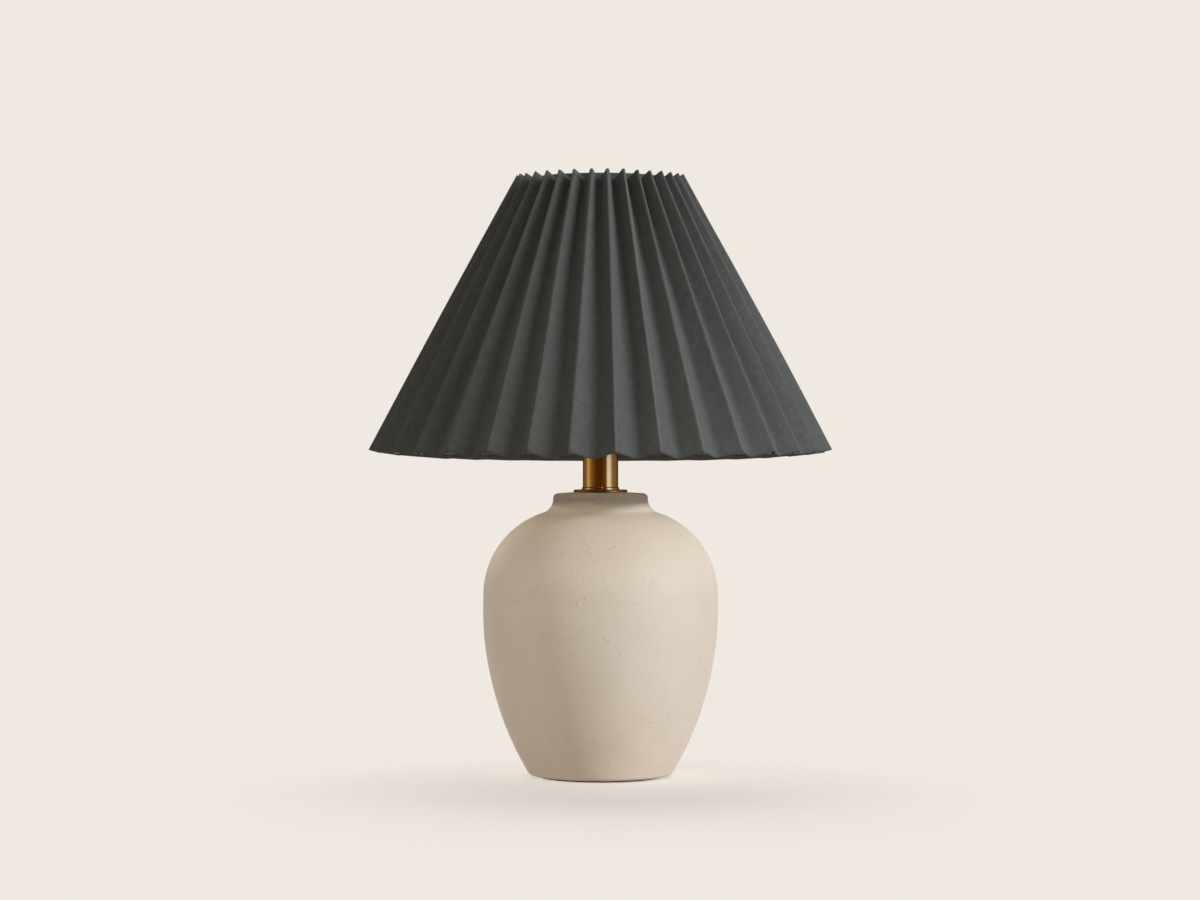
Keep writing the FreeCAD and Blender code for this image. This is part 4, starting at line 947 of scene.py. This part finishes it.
def make_lap():
    """Where the strip's two ends are glued over each other, on one panel at the back"""
    rows = 48
    columns = 6
    edge = 0.02
    width = 0.80
    vertices = []
    for row in range(rows):
        share = row / (rows - 1)
        start = rounded_fold(LAP_FOLD, share, 3)[-1]
        end = rounded_fold(LAP_FOLD + 1, share, 3)[0]
        out = (end - start).cross(Vector((0, 0, 1))).normalized()
        bow = PANEL_BOW * wander(LAP_FOLD, share, "bow")
        ripple = LAP_RIPPLE * wander(LAP_FOLD, share * 4, "lap")
        for column in range(columns):
            part = edge + width * column / (columns - 1)
            stand = bow * math.sin(math.pi * part) + CLOTH + ripple
            vertices.append(start.lerp(end, part) + out * stand)
    lap = make_object("shade_lap", vertices, grid_faces(rows, columns, False))

    def flat_place(face, vertex):
        row, column = divmod(vertex, columns)
        return PANEL * column / columns, FOLD_LENGTH * row / rows

    add_uv(lap, flat_place)
    thicken(lap)
    dress(lap, cloth)
    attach(lap, "shade")
    return lap


# Threads, welds and tape of the shade's frame

def tube_along(path, radii, segments):
    """Vertices and faces of a round tube along a path, closed at both ends"""
    vertices = []
    normal = Vector((0.31, 0.52, 0.79))  # askew, so that no path runs along it
    for index, point in enumerate(path):
        ahead = path[min(index + 1, len(path) - 1)] - path[max(index - 1, 0)]
        ahead.normalize()
        normal = (normal - ahead * normal.dot(ahead)).normalized()
        side = ahead.cross(normal)
        for segment in range(segments):
            turn = math.tau * segment / segments
            vertices.append(point + (normal * math.cos(turn) + side * math.sin(turn)) * radii[index])
    faces = grid_faces(len(path), segments)
    faces.append(tuple(range(segments))[::-1])
    faces.append(tuple(range(len(vertices) - segments, len(vertices))))
    return vertices, faces


def join_tubes(name, tubes):
    """One mesh object from several tubes"""
    vertices = []
    faces = []
    for points, sides in tubes:
        faces += [tuple(index + len(vertices) for index in side) for side in sides]
        vertices += points
    return make_object(name, vertices, faces)


def make_ties():
    """Thread loops that hold the valleys to the hem ring"""
    low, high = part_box("shade_hem_ring")
    wire = (high.z - low.z) / 2
    centre = high.x - wire
    height = (high.z + low.z) / 2
    thread = 0.28 * MM
    loop = wire + 0.25 * MM
    half_turns = 4.6
    steps = 24
    tubes = []
    for fold in range(1, FOLDS, 2):
        crest = rounded_fold(fold, 0.03, 3)[1]
        angle = math.atan2(crest.y, crest.x)
        reach = math.hypot(crest.x, crest.y) - 0.1 * MM
        path = [polar(reach, angle - 0.008, crest.z - 0.6 * MM)]
        for step in range(steps + 1):
            turn = -0.5 + step / steps * half_turns * math.pi
            spread = (step / steps - 0.5) * 0.016
            out = loop * math.cos(turn)
            path.append(polar(centre + out, angle + spread, height + loop * math.sin(turn)))
        path.append(polar(reach, angle + 0.008, crest.z + 0.8 * MM))
        tubes.append(tube_along(path, [thread] * len(path), 6))
    ties = join_tubes("hem_ties", tubes)
    dress(ties, tape)
    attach(ties, "shade")
    return ties


def make_band():
    """Tape round the pleats' top edge, pressed between the valleys"""
    low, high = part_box("shade_top_band")
    inner = high.x - 0.85 * MM

    def pressed(radius, angle, height):
        fold = (angle - FIRST_RIDGE) / math.tau * PLEATS
        loose = noise.noise(polar(9, angle, height * 120)) - 0.5
        return -0.3 * MM * wave(fold) + 0.25 * MM * loose

    band = lathe("top_tape", outline([
        {"at": (inner, high.z)},
        {"at": (inner, low.z), "round": 0.3 * MM},
        {"at": (high.x, low.z), "round": 0.3 * MM},
        {"at": (high.x, high.z), "round": 0.35 * MM},
        {"at": (inner, high.z)},
    ], 0.6 * MM), 396, wobble=pressed)
    dress(band, tape)
    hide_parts("shade_top_band")
    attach(band, "shade")
    make_stitches(inner, low.z)


def make_stitches(inner, low):
    """Slanting stitches on the tape's inside"""
    thread = 0.22 * MM
    steps = 6
    tubes = []
    for stitch in range(FOLDS):
        start = FIRST_RIDGE + math.pi * stitch / PLEATS
        path = []
        for step in range(steps + 1):
            part = step / steps
            lift = 0.35 * MM * math.sin(math.pi * part)
            height = low + (5.6 + 0.5 * part) * MM
            path.append(polar(inner - 0.35 * MM - lift, start + 0.062 * part, height))
        tubes.append(tube_along(path, [thread] * len(path), 6))
    stitches = join_tubes("tape_stitches", tubes)
    dress(stitches, sewing_thread)
    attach(stitches, "shade")


def make_welds():
    """Weld beads where the struts and the spider's arms meet the rings"""
    length = 7 * MM
    steps = 8
    tubes = []
    for strut in range(STRUTS):
        turn = math.radians(FIRST_STRUT + 360 / STRUTS * strut)
        for ring_low, ring_high in (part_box("shade_hem_ring"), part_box("shade_top_ring")):
            wire = (ring_high.z - ring_low.z) / 2
            centre = ring_high.x - wire
            height = (ring_low.z + ring_high.z) / 2
            path = []
            radii = []
            for step in range(steps + 1):
                part = step / steps
                spot = polar(centre, turn + (part - 0.5) * length / centre, height)
                lumpy = 0.2 * noise.noise(spot * 900)
                path.append(spot)
                radii.append(wire + (0.85 * math.sin(math.pi * part) ** 0.7 + lumpy - 0.1) * MM)
            tubes.append(tube_along(path, radii, 12))
    welds = join_tubes("frame_welds", tubes)
    dress(welds, frame_paint)
    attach(welds, "shade")


# Studio: floor, world, lamps that each light some of the objects, and a wall that only reflections see

def floor_material():
    """Pale ground that fades to the plain background away from the lamp"""
    graph = Graph("pale_floor")
    place = graph.object_place()
    away = graph.add("VectorMath", {0: place}, operation="LENGTH").outputs["Value"]
    paths = graph.add("LightPath")
    seen = graph.math("MAXIMUM", paths.outputs["Is Camera Ray"], paths.outputs["Is Glossy Ray"])
    far = graph.math("MULTIPLY", graph.span(away, *GROUND_FADE), seen)
    dust = graph.noise(place, 5.0, 2.0, 0.5)
    tint = graph.mix(graph.span(dust, 0.3, 0.7), tuple(c * 0.995 for c in GROUND_ALBEDO), GROUND_ALBEDO)
    ground = graph.add("BsdfDiffuse", {"Color": tint})
    lift = graph.add("Emission", {"Color": opaque(GROUND_LIFT), "Strength": seen})
    lifted = graph.add("AddShader", {0: ground.outputs[0], 1: lift.outputs[0]})
    plain = graph.add("Emission", {"Color": opaque(GROUND), "Strength": 1.0})
    return graph.show(graph.add("MixShader", {0: far, 1: lifted.outputs[0], 2: plain.outputs[0]}))


def make_floor():
    """Wide ground under the lamp"""
    reach = FLOOR_REACH
    corners = [(-reach, -reach, 0), (reach, -reach, 0), (reach, reach, 0), (-reach, reach, 0)]
    floor = make_object("studio_floor", corners, [(0, 1, 2, 3)], smooth=False)
    dress(floor, floor_material())
    return floor


def make_world():
    """Plain background for what looks straight at it, and a faint even light for the rest"""
    graph = Graph("studio", "World")
    paths = graph.add("LightPath")
    seen = paths.outputs["Is Camera Ray"]
    for name in ("Is Glossy Ray", "Is Transmission Ray"):
        seen = graph.math("MAXIMUM", seen, paths.outputs[name])
    ambient = graph.add("Background", {"Color": opaque(AMBIENT)})
    plain = graph.add("Background", {"Color": opaque(GROUND)})
    mixed = graph.add("MixShader", {0: seen, 1: ambient.outputs[0], 2: plain.outputs[0]})
    bpy.context.scene.world = graph.show(mixed)


def light_group(name, items, state):
    """Collection that says which objects a lamp lights, or leaves out"""
    group = bpy.data.collections.new(name)
    for item in items:
        group.objects.link(item)
    for entry in group.collection_objects:
        entry.light_linking.link_state = state


def make_sun(group, name, azimuth, elevation, strength, width, colour):
    """Soft distant lamp that lights one group"""
    light = bpy.data.lights.new(name, "SUN")
    light.energy = strength * math.pi
    light.angle = math.radians(width)
    light.color = colour
    lamp = bpy.data.objects.new(name, light)
    turn = math.radians(azimuth)
    rise = math.radians(elevation)
    towards = Vector((math.sin(turn) * math.cos(rise), -math.cos(turn) * math.cos(rise), math.sin(rise)))
    lamp.rotation_mode = "QUATERNION"
    lamp.rotation_quaternion = towards.to_track_quat("Z", "Y")
    lamp.light_linking.receiver_collection = bpy.data.collections[group]
    bpy.context.scene.collection.objects.link(lamp)
    return lamp


def make_wall():
    """Round wall of panels that only reflections see: the brass shows it as upright bands"""
    vertices = []
    faces = []
    for step in range(WALL_STEPS):
        turn = math.tau * step / WALL_STEPS
        following = (step + 1) % WALL_STEPS
        for height in WALL_HEIGHTS:
            vertices.append((WALL_RADIUS * math.sin(turn), -WALL_RADIUS * math.cos(turn), height))
        faces.append((2 * step, 2 * step + 1, 2 * following + 1, 2 * following))
    wall = make_object("reflection_wall", vertices, faces)
    dress(wall, wall_material())
    for ray in ("camera", "diffuse", "shadow", "transmission", "volume_scatter"):
        setattr(wall, "visible_" + ray, False)


def wall_material():
    """Glow whose colour goes from panel to panel with the direction from the lamp"""
    graph = Graph("reflection_wall")
    split = graph.add("SeparateXYZ", {0: graph.object_place()})
    back = graph.math("MULTIPLY", split.outputs[1], -1.0)
    turn = graph.math("DIVIDE", graph.math("ARCTAN2", split.outputs[0], back), math.pi)
    share = graph.math("ADD", graph.math("MULTIPLY", turn, 0.5), 0.5)
    ramp = graph.add("ValToRGB", {0: share})
    ramp.color_ramp.interpolation = "LINEAR"
    stops = ramp.color_ramp.elements
    for index, (degrees, colour) in enumerate(WALL_PANELS):
        position = degrees / 360 + 0.5
        stop = stops[index] if index < 2 else stops.new(position)
        stop.position = position
        stop.color = opaque(tuple(channel / WALL_STRENGTH for channel in colour))
    glow = graph.add("Emission", {"Color": ramp.outputs[0], "Strength": WALL_STRENGTH})
    return graph.show(glow)


def make_camera():
    """Camera of the photograph"""
    data = bpy.data.cameras.new("camera")
    data.sensor_width = SENSOR
    data.lens = SENSOR * -CAMERA_PLACE[1] / PICTURE_WIDTH
    data.clip_start = 0.1
    data.clip_end = 200
    camera = bpy.data.objects.new("camera", data)
    camera.location = CAMERA_PLACE
    camera.rotation_euler = (math.pi / 2 - math.radians(CAMERA_PITCH), 0, 0)
    bpy.context.scene.collection.objects.link(camera)
    bpy.context.scene.camera = camera


def make_lights(jar, shade, floor):
    """Groups of what each lamp lights, and the lamps"""
    light_group("jar_and_floor_left_out", [floor, jar], "EXCLUDE")
    light_group("small_pieces", [floor, jar, shade], "EXCLUDE")
    light_group("only_jar", [jar], "INCLUDE")
    light_group("only_floor", [floor], "INCLUDE")
    for group, suns in SUNS.items():
        for sun in suns:
            make_sun(group, *sun)
    for azimuth, elevation, strength in RING_LIGHTS:
        make_sun("only_jar", "ring_light", azimuth, elevation, strength, RING_WIDTH, WARM)
    for sun in UNBLOCKED_SUNS:
        lamp = make_sun("only_jar", *sun)
        lamp.light_linking.blocker_collection = bpy.data.collections["only_jar"]


jar_body = make_jar()
make_felt()
make_neck_washer()
make_neck_ring()
make_socket_beads()
make_bulb_thread()
make_finial()
shade_cloth = make_shade()
make_band()
make_welds()
make_world()
make_lights(jar_body, shade_cloth, make_floor())
make_wall()
make_camera()

bpy.context.scene.view_settings.view_transform = "Standard"
